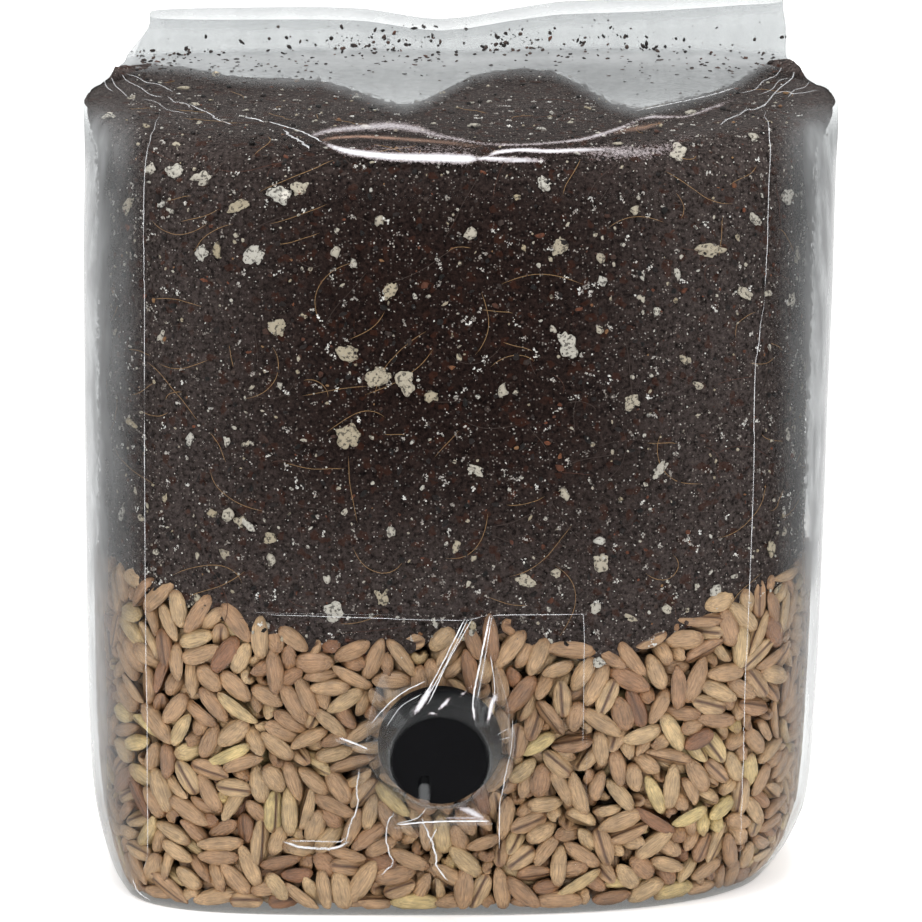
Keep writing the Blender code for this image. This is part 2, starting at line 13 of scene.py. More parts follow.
import bmesh
import bpy
import numpy as np
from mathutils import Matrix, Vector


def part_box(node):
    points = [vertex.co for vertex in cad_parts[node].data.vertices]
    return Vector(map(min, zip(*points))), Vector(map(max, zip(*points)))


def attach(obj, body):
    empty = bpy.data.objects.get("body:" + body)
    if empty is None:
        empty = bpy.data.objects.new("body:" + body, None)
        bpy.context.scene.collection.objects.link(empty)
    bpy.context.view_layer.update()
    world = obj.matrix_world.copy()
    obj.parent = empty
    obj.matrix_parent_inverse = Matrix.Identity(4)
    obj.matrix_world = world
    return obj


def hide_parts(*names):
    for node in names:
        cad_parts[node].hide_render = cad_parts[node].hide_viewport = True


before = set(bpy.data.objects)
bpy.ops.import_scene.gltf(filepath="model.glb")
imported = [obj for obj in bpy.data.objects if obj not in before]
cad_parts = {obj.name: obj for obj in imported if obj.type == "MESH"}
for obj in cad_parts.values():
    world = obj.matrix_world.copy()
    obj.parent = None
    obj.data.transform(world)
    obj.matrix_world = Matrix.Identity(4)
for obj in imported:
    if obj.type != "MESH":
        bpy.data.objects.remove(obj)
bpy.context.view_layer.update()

MM = 0.001
LOG = logging.getLogger("grow_bag")


class Slot(Enum):
    """The record's material slots."""

    FILM = "film"
    GRAIN = "grain"
    SUBSTRATE = "substrate"
    RUBBER = "rubber"
    TAPE = "tape"
    FILTER = "filter"


def smoothstep(low: float, high: float, values: np.ndarray) -> np.ndarray:
    """Blends from 0 at low to 1 at high: t squared times (3 - 2t).

    Args:
        low: The value where the blend starts.
        high: The value where it ends. It may be below low.
        values: The values to blend.

    Returns:
        The blend at each value.
    """
    share = np.clip((values - low) / (high - low), 0.0, 1.0)
    return share * share * (3.0 - 2.0 * share)


def monotone_curve(knots: np.ndarray, values: np.ndarray, at: np.ndarray) -> np.ndarray:
    """A smooth curve through the values that never swings past them.

    Each knot's slope is the harmonic mean of the slopes on its two sides, and 0 where they differ in
    sign. Cubic Hermite pieces join the knots.

    Args:
        knots: The places of the values, rising.
        values: One row of values a knot.
        at: The places to read the curve at.

    Returns:
        One row of values a place.
    """
    steps = np.diff(knots)[:, None]
    slopes = np.diff(values, axis=0) / steps
    product = slopes[:-1] * slopes[1:]
    total = slopes[:-1] + slopes[1:]
    inner = np.where(product > 0, 2 * product / np.where(total == 0, 1.0, total), 0.0)
    tangents = np.concatenate([slopes[:1], inner, slopes[-1:]])
    index = np.clip(np.searchsorted(knots, at, side="right") - 1, 0, len(knots) - 2)
    width = steps[index]
    t = (at - knots[index])[:, None] / width
    start = values[index] * (1 + 2 * t) * (1 - t) ** 2 + tangents[index] * width * t * (1 - t) ** 2
    end = values[index + 1] * t**2 * (3 - 2 * t) + tangents[index + 1] * width * t**2 * (t - 1)
    return start + end


def lattice_noise(points: np.ndarray, pitch: float, seed: int) -> np.ndarray:
    """Smooth noise from -1 to 1.

    Each corner of a cube lattice has a random value, worked out from its whole-number place, and a
    point blends the values of the eight corners round it.

    Args:
        points: The points, one a row.
        pitch: The lattice's pitch, in the points' unit.
        seed: Another seed gives other values.

    Returns:
        One value a point.
    """
    place = points / pitch + 0.37
    cell = np.floor(place).astype(np.int64)
    share = place - cell
    share = share * share * (3 - 2 * share)
    total = np.zeros(len(points))
    for corner in np.ndindex(2, 2, 2):
        at = (cell + np.array(corner)).astype(np.uint64)
        mixed = at[:, 0] * np.uint64(73856093) ^ at[:, 1] * np.uint64(19349663)
        mixed ^= at[:, 2] * np.uint64(83492791) ^ np.uint64(seed * 2654435761 % 2**32)
        mixed = (mixed ^ (mixed >> np.uint64(15))) * np.uint64(2246822519)
        mixed = (mixed ^ (mixed >> np.uint64(13))) & np.uint64(0xFFFFFF)
        weight = np.prod(np.where(corner, share, 1 - share), axis=1)
        total += weight * mixed.astype(float) / 0xFFFFFF
    return 2 * total - 1


def unit(vectors: np.ndarray) -> np.ndarray:
    """Each vector with its length made 1.

    Args:
        vectors: The vectors, along the last axis.

    Returns:
        The unit vectors.
    """
    return vectors / np.maximum(np.linalg.norm(vectors, axis=-1, keepdims=True), 1e-9)


def linear(colour: str, alpha: float = 1.0) -> tuple:
    """A linear colour from its sRGB hex code.

    Args:
        colour: Six hex digits after a hash sign.
        alpha: The opacity.

    Returns:
        Red, green, blue and alpha.
    """
    parts = [int(colour[start : start + 2], 16) / 255 for start in (1, 3, 5)]
    return (*(p / 12.92 if p <= 0.04045 else ((p + 0.055) / 1.055) ** 2.4 for p in parts), alpha)


def add_node(tree: bpy.types.NodeTree, kind: str, inputs: dict = None, **settings) -> bpy.types.Node:
    """Adds a node to a material.

    Args:
        tree: The material's node tree.
        kind: The node's type name, without the ShaderNode before it.
        inputs: For each input's name or number, a value, or the node or output that feeds it. A node
            feeds it by the first output that is in use.
        settings: The node's own properties.

    Returns:
        The node.
    """
    made = tree.nodes.new(f"ShaderNode{kind}")
    for name, value in settings.items():
        setattr(made, name, value)
    for key, value in (inputs or {}).items():
        if isinstance(value, bpy.types.Node):
            value = next(socket for socket in value.outputs if socket.enabled)
        if isinstance(value, bpy.types.NodeSocket):
            tree.links.new(value, made.inputs[key])
        else:
            made.inputs[key].default_value = value
    return made


def set_stops(ramp: bpy.types.Node, stops: tuple) -> None:
    """Gives a colour ramp its stops.

    Args:
        ramp: The ramp's node.
        stops: The place and hex colour of each stop, in rising order.
    """
    elements = ramp.color_ramp.elements
    elements[0].position, elements[-1].position = stops[0][0], stops[-1][0]
    for position, _ in stops[1:-1]:
        elements.new(position)
    for element, (_, colour) in zip(elements, stops):
        element.color = linear(colour)


@dataclass(frozen=True)
class Finish:
    """A finish of one of the pieces: a material whose nodes each kind lays in its own way."""

    name: str

    def build(self) -> bpy.types.Material:
        """Makes the material.

        Returns:
            The material.
        """
        material = bpy.data.materials.new(self.name)
        material.use_nodes = True
        tree = material.node_tree
        tree.nodes.clear()
        add_node(tree, "OutputMaterial", {"Surface": self.lay(tree)})
        return material

    def lay(self, tree: bpy.types.NodeTree) -> bpy.types.Node:
        """Lays the nodes.

        Args:
            tree: The material's node tree.

        Returns:
            The shader.
        """
        raise NotImplementedError


def new_piece(name: str, points: np.ndarray, faces: list, material: bpy.types.Material) -> bpy.types.Object:
    """A smooth mesh object from arrays.

    Args:
        name: The piece's name.
        points: Its points, in millimetres.
        faces: Arrays of faces, each array with one number of corners.
        material: Its material.

    Returns:
        The object, at the origin.
    """
    mesh = bpy.data.meshes.new(name)
    faces = [np.asarray(group, dtype=np.int32) for group in faces if len(group)]
    sizes = np.concatenate([np.full(len(group), group.shape[1]) for group in faces])
    corners = np.concatenate([group.ravel() for group in faces])
    mesh.vertices.add(len(points))
    mesh.vertices.foreach_set("co", (np.asarray(points) * MM).astype(np.float32).ravel())
    mesh.loops.add(len(corners))
    mesh.loops.foreach_set("vertex_index", corners)
    mesh.polygons.add(len(sizes))
    mesh.polygons.foreach_set("loop_start", (np.cumsum(sizes) - sizes).astype(np.int32))
    mesh.polygons.foreach_set("use_smooth", np.ones(len(sizes), dtype=bool))
    mesh.update(calc_edges=True)
    mesh.materials.append(material)
    obj = bpy.data.objects.new(name, mesh)
    bpy.context.scene.collection.objects.link(obj)
    return obj


def set_attribute(obj: bpy.types.Object, name: str, values: np.ndarray) -> None:
    """Gives each vertex a number or a vector.

    Args:
        obj: The piece.
        name: The attribute's name.
        values: One number or one vector a vertex.
    """
    vector = values.ndim == 2
    kind, field = ("FLOAT_VECTOR", "vector") if vector else ("FLOAT", "value")
    layer = obj.data.attributes.new(name, kind, "POINT")
    layer.data.foreach_set(field, values.astype(np.float32).ravel())


def dress(obj: bpy.types.Object, slot: Slot, *nodes: str) -> None:
    """Puts a piece on the frame and hides the solids that it stands for.

    Args:
        obj: The piece.
        slot: Its material slot. It is not used.
        nodes: The solids that it replaces.
    """
    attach(obj, "root")
    if nodes:
        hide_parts(*nodes)
    LOG.info("%s: %d vertices, %d faces", obj.name, len(obj.data.vertices), len(obj.data.polygons))


def tube_faces(rows: int, columns: int) -> np.ndarray:
    """Quads of a closed tube whose points are listed row by row.

    Args:
        rows: How many rings it has.
        columns: How many points a ring has.

    Returns:
        One row of four point numbers a quad.
    """
    row, column = np.meshgrid(np.arange(rows - 1), np.arange(columns), indexing="ij")
    ahead = (column + 1) % columns
    here = row * columns
    corners = [here + column, here + ahead, here + columns + ahead, here + columns + column]
    return np.stack(corners, axis=-1).reshape(-1, 4)


def end_fans(rows: int, columns: int) -> np.ndarray:
    """Triangles that close a tube's ends, each round its pole. The poles are listed after the tube.

    Args:
        rows: How many rings the tube has.
        columns: How many points a ring has.

    Returns:
        One row of three point numbers a triangle.
    """
    around = np.arange(columns)
    ahead = (around + 1) % columns
    last = (rows - 1) * columns
    pole = np.full(columns, rows * columns)
    start = np.stack([around, ahead, pole], axis=1)
    end = np.stack([last + ahead, last + around, pole + 1], axis=1)
    return np.concatenate([start, end])


def sack_faces(rows: int, columns: int) -> list:
    """Faces of a tube that starts at a pole and ends pressed flat. The pole is listed after the tube.

    Args:
        rows: How many rings the tube has.
        columns: How many points a ring has.

    Returns:
        The tube's quads, the pole's fan, the flat end's quads and its two corner triangles.
    """
    around = np.arange(columns)
    fan = np.stack([around, np.full(columns, rows * columns), (around + 1) % columns], axis=1)
    last = (rows - 1) * columns
    step = np.arange(1, columns // 2 - 1)
    mirror = columns - step
    end = last + np.stack([step, step + 1, mirror - 1, mirror], axis=1)
    half = columns // 2
    tips = last + np.array([[0, 1, columns - 1], [half, half + 1, half - 1]])
    return [tube_faces(rows, columns), fan, end, tips]


def sheet_faces(rows: int, columns: int) -> np.ndarray:
    """Quads of an open sheet whose points are listed row by row.

    Args:
        rows: How many rows it has.
        columns: How many points a row has.

    Returns:
        One row of four point numbers a quad.
    """
    row, column = np.meshgrid(np.arange(rows - 1), np.arange(columns - 1), indexing="ij")
    here = row * columns + column
    return np.stack([here, here + 1, here + columns + 1, here + columns], axis=-1).reshape(-1, 4)


@dataclass(frozen=True)
class FrontView:
    """The photo's point of view, and the plane through the bag that its features are measured in.

    A feature's place is (x, h): millimetres to the right of and above the aim point, in the plane
    square to the line of sight.
    """

    aim: tuple = (0.16, 2.95, 63.7)
    elevation: float = math.radians(11.0)
    distance: float = 1400.0
    frame_width: float = 145.2

    def axes(self) -> tuple:
        """The view's upward and forward directions."""
        up = np.array([0.0, math.sin(self.elevation), math.cos(self.elevation)])
        ahead = np.array([0.0, math.cos(self.elevation), -math.sin(self.elevation)])
        return up, ahead

    def eye(self) -> np.ndarray:
        """The camera's place."""
        return np.array(self.aim) - self.axes()[1] * self.distance

    def project(self, points: np.ndarray) -> np.ndarray:
        """The (x, h) place of each point: its offset from the eye, scaled to the aim's distance.

        Args:
            points: The points, along the last axis.

        Returns:
            Two values a point.
        """
        up, ahead = self.axes()
        away = points - self.eye()
        scale = self.distance / (away @ ahead)
        return np.stack([away[..., 0] * scale, away @ up * scale], axis=-1)

    def add_camera(self) -> None:
        """Adds the camera and makes it the scene's."""
        data = bpy.data.cameras.new("photo_camera")
        camera = bpy.data.objects.new("photo_camera", data)
        bpy.context.scene.collection.objects.link(camera)
        data.lens = data.sensor_width * self.distance / self.frame_width
        data.clip_start = 0.05
        data.clip_end = 20.0
        camera.location = self.eye() * MM
        camera.rotation_euler = (math.pi / 2 - self.elevation, 0.0, 0.0)
        bpy.context.scene.camera = camera


@dataclass(frozen=True)
class BagShape:
    """The bag's form: outlines from the base, over the top, up the flat neck and down its tail."""

    width: float = 117.6
    front_depth: float = 46.0
    back_depth: float = 42.5
    crest: float = 120.5
    ear: float = 1.3
    neck_width: float = 101.6
    neck_thickness: float = 2.4
    neck_offset: float = 1.5
    neck_plane: float = 37.5
    neck_rise: float = 8.0
    neck_tilt: float = 0.85
    neck_dip: float = 1.9
    neck_dip_place: float = -3.0
    neck_dip_width: float = 9.0
    fold_radius: float = 2.6
    tail_length: float = 72.0
    tail_gap: float = 0.9
    neck_square: float = 5.0

    def shift(self) -> np.ndarray:
        """What takes a point of the outlines into the row frame, from the film's own box."""
        low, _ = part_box("bag_film")
        return np.array([low.x / MM + self.width / 2, low.y / MM + self.front_depth, 0.0])

    def wall_table(self) -> list:
        """Rows up the walls: front y, z, back y, z, left, right, two squarenesses, lift, neck share."""
        rows = (
            (0.000, 0.866, 0.885, 0.890, 0.830, 4.6, 2.50),
            (0.018, 0.884, 0.925, 0.918, 0.862, 4.3, 2.60),
            (0.050, 0.888, 0.948, 0.944, 0.902, 4.0, 2.80),
            (0.100, 0.888, 0.965, 0.970, 0.940, 3.7, 3.00),
            (0.160, 0.906, 0.975, 0.983, 0.953, 3.5, 3.15),
            (0.220, 0.937, 0.984, 0.988, 0.960, 3.4, 3.25),
            (0.280, 0.969, 0.990, 0.990, 0.966, 3.3, 3.25),
            (0.345, 0.989, 0.995, 0.991, 0.972, 3.2, 3.20),
            (0.460, 1.000, 1.000, 0.992, 0.981, 3.2, 3.20),
            (0.625, 0.999, 1.000, 0.992, 0.990, 3.2, 3.20),
            (0.775, 0.984, 0.989, 0.992, 1.000, 3.15, 3.15),
            (0.875, 0.956, 0.982, 0.992, 1.005, 3.05, 3.05),
        )
        half = self.width / 2
        table = []
        for height, front, back, left, right, square, right_square in rows:
            z = height * self.crest
            sides = (-left * half, right * half, square, right_square, 0.0, 0.0)
            table.append((-front * self.front_depth, z, back * self.back_depth, z, *sides))
        return table

    def top_table(self) -> list:
        """Rows over the top, out to the ears and in again to the foot of the neck."""
        rows = (
            (-0.915, -8.0, 41.5, -13.0, -9.6, 0.993, 1.008, 3.02),
            (-0.872, -3.9, 41.3, -9.6, -4.4, 0.996, 1.012, 3.00),
            (-0.815, -1.5, 41.1, -7.0, -1.0, 0.999, 1.015, 3.00),
            (-0.720, -0.3, 40.9, -4.8, 0.9, 1.000, 1.016, 3.00),
            (-0.550, 0.3, 40.7, -3.0, self.ear, 0.990, 1.002, 3.00),
            (-0.220, 0.9, 40.4, -1.2, 1.2, 0.966, 0.974, 3.05),
            (0.170, 1.4, 40.1, 0.2, 1.1, 0.940, 0.944, 3.20),
            (0.480, 1.9, 39.7, 1.3, 1.2, 0.922, 0.922, 3.50),
            (0.680, 2.8, 39.3, 2.4, 1.6, 0.911, 0.908, 4.00),
            (0.765, 4.4, 39.0, 4.1, 2.6, 0.905, 0.902, 4.50),
        )
        half = self.width / 2
        table = []
        for front, front_z, back, back_z, side_z, left, right, square in rows:
            lift = side_z - (front_z + back_z) / 2
            ends = (front * self.front_depth, self.crest + front_z, back, self.crest + back_z)
            table.append((*ends, -left * half, right * half, square, square, lift, 0.0))
        return table

    def neck_table(self) -> list:
        """Rows up the flat neck, round its fold and down the tail."""
        start = self.crest + self.neck_rise
        places = [(self.neck_plane, start, -1.0, 0.0)]
        for turn in np.linspace(0, math.pi, 9)[1:]:
            y = self.neck_plane + self.fold_radius * (1 - math.cos(turn))
            z = start + self.fold_radius * math.sin(turn)
            places.append((y, z, -math.cos(turn), math.sin(turn)))
        after = self.neck_plane + 2 * self.fold_radius
        tail = self.back_depth + self.tail_gap + self.neck_thickness / 2
        places.append(((after + tail) / 2, start - 5.5, 1.0, 0.0))
        places.append((tail, start - 11.0, 1.0, 0.0))
        places.append((tail, start - self.tail_length / 2, 1.0, 0.0))
        places.append((tail, start - self.tail_length, 1.0, 0.0))
        half = self.neck_thickness / 2
        reach = self.neck_width / 2
        sides = (self.neck_offset - reach, self.neck_offset + reach)
        squares = (self.neck_square, self.neck_square, 0.0, 1.0)
        rows = []
        for y, z, oy, oz in places:
            flare = 3.6 * min(max((start + 1.0 - z) / 9.0, 0.0), 1.0)
            ends = (sides[0] - flare, sides[1] + flare * 0.45)
            rows.append((y + oy * half, z + oz * half, y - oy * half, z - oz * half, *ends, *squares))
        return rows

    def table(self) -> tuple:
        """All rows, and how far along the front panel each one lies."""
        rows = np.array(self.wall_table() + self.top_table() + self.neck_table())
        steps = np.hypot(np.diff(rows[:, 0]), np.diff(rows[:, 1]))
        return rows, np.concatenate([[0.0], np.cumsum(steps)])

    def angles(self, count: int) -> np.ndarray:
        """Angles round an outline, from +X by the back, evenly spaced along the walls.

        Args:
            count: How many, a multiple of 4, so that the front and back mirror each other.

        Returns:
            The angles.
        """
        fine = np.linspace(0, math.pi / 2, 400)
        power = 2 / 3.2
        across = self.width / 2 * np.cos(fine) ** power
        along = self.front_depth * np.sin(fine) ** power
        travel = np.concatenate([[0], np.cumsum(np.hypot(np.diff(across), np.diff(along)))])
        quarter = np.interp(np.arange(count // 4) / (count // 4), travel / travel[-1], fine)
        half = np.concatenate([quarter, [math.pi / 2], math.pi - quarter[:0:-1]])
        return np.concatenate([half, math.pi + half])

    def grid(self, travel: np.ndarray, angles: np.ndarray) -> np.ndarray:
        """The loft's points: superellipses that lean from their front point to their back point.

        Args:
            travel: How far along the front panel each ring lies.
            angles: The angles round a ring.

        Returns:
            Points in the row frame, ring by ring.
        """
        rows, knots = self.table()
        read = monotone_curve(knots, rows, travel)
        front_y, front_z, back_y, back_z, left, right, square, right_square, lift, neck = read.T[:, :, None]
        cosine, sine = np.cos(angles)[None], np.sin(angles)[None]
        power = 2 / np.where(cosine > 0, right_square, square)
        across = np.sign(cosine) * np.abs(cosine) ** power
        along = np.sign(sine) * np.abs(sine) ** power
        x = (left + right) / 2 + (right - left) / 2 * across
        y = (front_y + back_y) / 2 + (back_y - front_y) / 2 * along
        z = (front_z + back_z) / 2 + (back_z - front_z) / 2 * along
        z = z + lift * np.abs(across) ** 3 + neck * self.neck_tilt * across
        z = z - neck * self.neck_dip * np.exp(-(((x - self.neck_dip_place) / self.neck_dip_width) ** 2))
        return np.stack([x, y, z], axis=-1) + self.shift()

    def front(self, x: np.ndarray, height: np.ndarray) -> tuple:
        """The front wall's points and outward normals.

        On the outline of the given height, the front point at x is minus (1 - |x/a|^n)^(1/n) of the
        way from the middle.

        Args:
            x: Places across, in the outlines' own frame.
            height: Heights, as many.

        Returns:
            Points in the row frame, and unit normals.
        """
        rows = np.array(self.wall_table() + self.top_table()[:2])

        def on_wall(across: np.ndarray, up: np.ndarray) -> np.ndarray:
            """The front wall's point over each place, on the rounded square at its height.

            Args:
                across: How far to the right each place is.
                up: How high it is.

            Returns:
                One point a place.
            """
            read = monotone_curve(rows[:, 1], rows, up.ravel())
            front, back, left, right = (read[:, column].reshape(up.shape) for column in (0, 2, 4, 5))
            square, right_square = (read[:, column].reshape(up.shape) for column in (6, 7))
            middle = (left + right) / 2
            n = np.where(across > middle, right_square, square)
            share = np.minimum(np.abs(across - middle) / ((right - left) / 2), 1.0)
            along = -((1 - share**n) ** (1 / n))
            y = (front + back) / 2 + (back - front) / 2 * along
            return np.stack([across, y, up], axis=-1)

        points = on_wall(x, height)
        sideways = on_wall(x + 0.5, height) - on_wall(x - 0.5, height)
        upwards = on_wall(x, height + 0.5) - on_wall(x, height - 0.5)
        return points + self.shift(), unit(np.cross(sideways, upwards))

    def mark(self, height: float) -> float:
        """How far along the front panel this height is reached, under the crest.

        Args:
            height: The height in millimetres.

        Returns:
            The travel.
        """
        rows, knots = self.table()
        count = len(self.wall_table()) + 3
        return float(np.interp(height, rows[:count, 1], knots[:count]))

    def neck_foot(self) -> float:
        """The travel where the neck starts."""
        return float(self.table()[1][len(self.wall_table()) + len(self.top_table()) - 1])

    def inside(self, points: np.ndarray) -> tuple:
        """How far inside the walls each point lies, and the way out.

        A level outline's implicit value is (|x/a|^n + |y/b|^n)^(1/n). The distance to it is one less
        that value, over the length of its gradient.

        Args:
            points: The points, one a row.

        Returns:
            The distances, and the level outward directions.
        """
        rows = np.array(self.wall_table() + self.top_table()[:3])
        shift = self.shift()
        read = [np.interp(points[:, 2], rows[:, 1], rows[:, column]) for column in (0, 4, 5, 6, 7)]
        front, left, right, square, right_square = read
        back = np.interp(points[:, 2], rows[:12, 1], rows[:12, 2])
        x = points[:, 0] - shift[0] - (left + right) / 2
        y = points[:, 1] - shift[1] - (front + back) / 2
        a, b = (right - left) / 2, (back - front) / 2
        n = np.where(x > 0, right_square, square)
        u, v = np.abs(x / a) + 1e-6, np.abs(y / b) + 1e-6
        total = u**n + v**n
        value = total ** (1 / n)
        slope = total ** (1 / n - 1)
        gradient = np.stack(
            [slope * u ** (n - 1) / a * np.sign(x), slope * v ** (n - 1) / b * np.sign(y)], axis=1
        )
        length = np.linalg.norm(gradient, axis=1)
        out = np.concatenate([gradient / length[:, None], np.zeros((len(x), 1))], axis=1)
        return (1 - value) / length, out


def grid_normals(points: np.ndarray) -> np.ndarray:
    """The outward normals of a tube's points: the way round crossed with the way along.

    Args:
        points: The points, ring by ring, going round anticlockwise seen from above.

    Returns:
        One unit vector a point.
    """
    around = np.roll(points, -1, axis=1) - np.roll(points, 1, axis=1)
    onward = np.gradient(points, axis=0)
    return unit(np.cross(around, onward))


def grid_normals_open(points: np.ndarray) -> np.ndarray:
    """The outward normals of a sheet's points: the way across crossed with the way up.

    Args:
        points: The points, row by row, from the left and from below.

    Returns:
        One unit vector a point.
    """
    return unit(np.cross(np.gradient(points, axis=1), np.gradient(points, axis=0)))


@dataclass(frozen=True)
class Filling:
    """Where the grain ends and the substrate begins and ends."""

    shape: BagShape
    view: FrontView

    def bed_top(self, points: np.ndarray) -> np.ndarray:
        """The height at which the grain ends, at each point.

        The front follows the uneven line seen through the film, and the rest rises towards the sides
        with gentle waves.

        Args:
            points: The points, one a row.

        Returns:
            The heights.
        """
        x, y = points[:, 0], points[:, 1]
        places = (-58, -52, -40, -32, -26, -19.5, -9, -2, 6.6, 12.8, 22, 31, 37.5, 43.5, 52, 58)
        heights = (
            52.6, 52.2, 49.4, 46.8, 44.6, 43.0, 43.2, 45.6, 47.0, 43.6, 41.8, 44.6, 48.4, 50.2, 52.2, 52.8
        )
        front = np.interp(x, places, heights)
        wave = np.sin(x / 8.3 + 0.6) * np.cos(y / 11.7 + 0.4) + 0.6 * np.sin(x / 4.1 - y / 6.3)
        rest = 43.0 + 6.0 * np.clip(np.abs(x) / 42.3, 0, 1) ** 2 + 0.9 * wave
        share = smoothstep(-25, 5, y)
        return front * (1 - share) + rest * share

    def crown(self, points: np.ndarray) -> np.ndarray:
        """The height of the substrate's top: it ends at a line of sight with a hump and two valleys.

        The line's (x, h) places are measured in the front view. A point on it, as far back as the
        given one, is worked out from the line of sight.

        Args:
            points: The points, one a row.

        Returns:
            The heights.
        """
        places = (-54, -49, -44, -41, -35, -28.5, -22, -17.5, -12.8, -8.7, -4.9, -1.7, 1.4, 4.6, 9.3)
        places += (14, 17.2, 20.3, 23.5, 27.7, 31.3, 36.1, 40.8, 43.1, 45.5, 47.9, 51)
        line = (62.0, 62.2, 61.9, 61.3, 60.3, 60.0, 59.7, 58.4, 56.5, 55.6, 56.9, 58.7, 60.3, 61.1, 61.6)
        line += (61.3, 60.0, 58.1, 56.2, 55.1, 55.7, 57.0, 58.3, 59.2, 60.8, 62.4, 63.1)
        seen = self.view.project(points)
        target = np.interp(seen[:, 0], places, line)
        up, _ = self.view.axes()
        scale = self.view.distance / (self.view.distance + points[:, 1] - 11)
        return points[:, 2] + (target - seen[:, 1]) / (scale * up[2])


@dataclass(frozen=True)
class FilmMaterial(Finish):
    """Blown polypropylene film: clear, glossy, with faint haze and fine creases.

    Light goes straight through it, and Fresnel reflection lies on top. Haze, gloss and creasing are
    stronger where the mesh's attributes say so, and so are the haze's painted shade and the painted
    highlights and painted reflection that the attributes lay on it.
    """

    name: str = "blown_polypropylene_film"
    tint: str = "#F4F5F5"
    edge_tint: str = "#E4E6E6"
    # the haze's grey runs between these two, painted darker or paler by the mesh's attribute
    haze_dark: str = "#7E8081"
    haze_light: str = "#BEC0C1"
    painted_reflection_copper: str = "#A08272"
    painted_glint_colour: str = "#E3E8EE"
    weak_painted_glint: str = "#D0B9B8"
    ior: float = 1.49
    base_reflectance: float = 0.05
    roughness: float = 0.045
    crease_pitch: float = 1.6
    crease_depth: float = 0.05

    def lay(self, tree: bpy.types.NodeTree) -> bpy.types.Node:
        """Lays the nodes.

        Args:
            tree: The material's node tree.

        Returns:
            The shader.
        """
        place = add_node(tree, "TexCoord").outputs["Object"]
        haze = add_node(tree, "Attribute", attribute_name="haze").outputs["Fac"]
        gloss = add_node(tree, "Attribute", attribute_name="gloss").outputs["Fac"]
        crease = add_node(tree, "Attribute", attribute_name="crease").outputs["Fac"]
        # fine creases pressed into the film, a bump from stretched noise
        stretch = add_node(tree, "Mapping", {"Vector": place, "Scale": (1.0, 1.0, 0.35)})
        pitch = 1 / (self.crease_pitch * MM)
        folds = add_node(
            tree,
            "TexNoise",
            {"Vector": stretch, "Scale": pitch, "Detail": 3.0, "Roughness": 0.55},
            noise_type="RIDGED_MULTIFRACTAL",
        )
        bump = add_node(
            tree, "Bump", {"Height": folds, "Strength": crease, "Distance": self.crease_depth * MM}
        )
        # smudges: the haze varies over a few millimetres
        upright = add_node(tree, "Mapping", {"Vector": place, "Scale": (1.0, 1.0, 0.4)})
        smudge = add_node(tree, "TexNoise", {"Vector": upright, "Scale": 300.0, "Detail": 5.0})
        vary = add_node(tree, "MapRange", {"Value": smudge, 1: 0.3, 2: 0.7, 3: 0.74, 4: 1.2})
        veil = add_node(tree, "Math", {0: haze, 1: vary}, operation="MULTIPLY")
        facing = add_node(tree, "LayerWeight", {"Blend": 0.25}).outputs["Facing"]
        tint = add_node(
            tree, "Mix", {"Factor": facing, 6: linear(self.tint), 7: linear(self.edge_tint)}, data_type="RGBA"
        )
        clear = add_node(tree, "BsdfTransparent", {"Color": tint})
        # haze: its grey is painted darker at the left and right edges, where several layers lie together,
        # and paler towards the neck and on the top's left: painted shade and painted light
        paler = add_node(tree, "Attribute", attribute_name="paler").outputs["Fac"]
        grey = add_node(
            tree,
            "Mix",
            {"Factor": paler, 6: linear(self.haze_dark), 7: linear(self.haze_light)},
            data_type="RGBA",
        )
        white = add_node(tree, "BsdfDiffuse", {"Color": grey})
        lit = add_node(tree, "BsdfTranslucent", {"Color": grey})
        milk = add_node(tree, "MixShader", {"Fac": 0.45, 1: white, 2: lit})
        body = add_node(tree, "MixShader", {"Fac": veil, 1: clear, 2: milk})
        # painted reflection: an orange-brown streak, the room's reflection, painted under the crest
        painted_warm_reflection = add_node(tree, "Attribute", attribute_name="painted_warm_reflection").outputs["Fac"]
        painted_reflection = add_node(tree, "BsdfDiffuse", {"Color": linear(self.painted_reflection_copper)})
        body = add_node(tree, "MixShader", {"Fac": painted_warm_reflection, 1: body, 2: painted_reflection})
        # painted highlights: diffuse white, pinkish where weak, painted where the mesh says, broken by noise
        painted_glint = add_node(tree, "Attribute", attribute_name="painted_glint").outputs["Fac"]
        specks = add_node(tree, "TexNoise", {"Vector": place, "Scale": 2600.0, "Detail": 2.0})
        painted_glint_breakup = add_node(tree, "MapRange", {"Value": specks, 1: 0.35, 2: 0.65, 3: 0.0, 4: 0.55})
        lack = add_node(tree, "Math", {0: 1.0, 1: painted_glint}, operation="SUBTRACT")
        loss = add_node(tree, "Math", {0: painted_glint_breakup, 1: lack}, operation="MULTIPLY")
        kept = add_node(tree, "Math", {0: painted_glint, 1: loss}, operation="SUBTRACT", use_clamp=True)
        tone = add_node(
            tree,
            "Mix",
            {"Factor": painted_glint, 6: linear(self.weak_painted_glint), 7: linear(self.painted_glint_colour)},
            data_type="RGBA",
        )
        bright = add_node(tree, "BsdfDiffuse", {"Color": tone})
        body = add_node(tree, "MixShader", {"Fac": kept, 1: body, 2: bright})
        # seen straight on, the film mirrors nothing: only reflection beyond the base counts
        fresnel = add_node(tree, "Fresnel", {"IOR": self.ior, "Normal": bump})
        beyond = add_node(
            tree, "MapRange", {"Value": fresnel, 1: self.base_reflectance, 2: 1.0, 3: 0.0, 4: 1.0}
        )
        share = add_node(tree, "Math", {0: beyond, 1: gloss}, operation="MULTIPLY")
        mirror = add_node(
            tree, "BsdfGlossy", {"Roughness": self.roughness, "Normal": bump, "Color": (1, 1, 1, 1)}
        )
        shown = add_node(tree, "MixShader", {"Fac": share, 1: body, 2: mirror})
        return shown


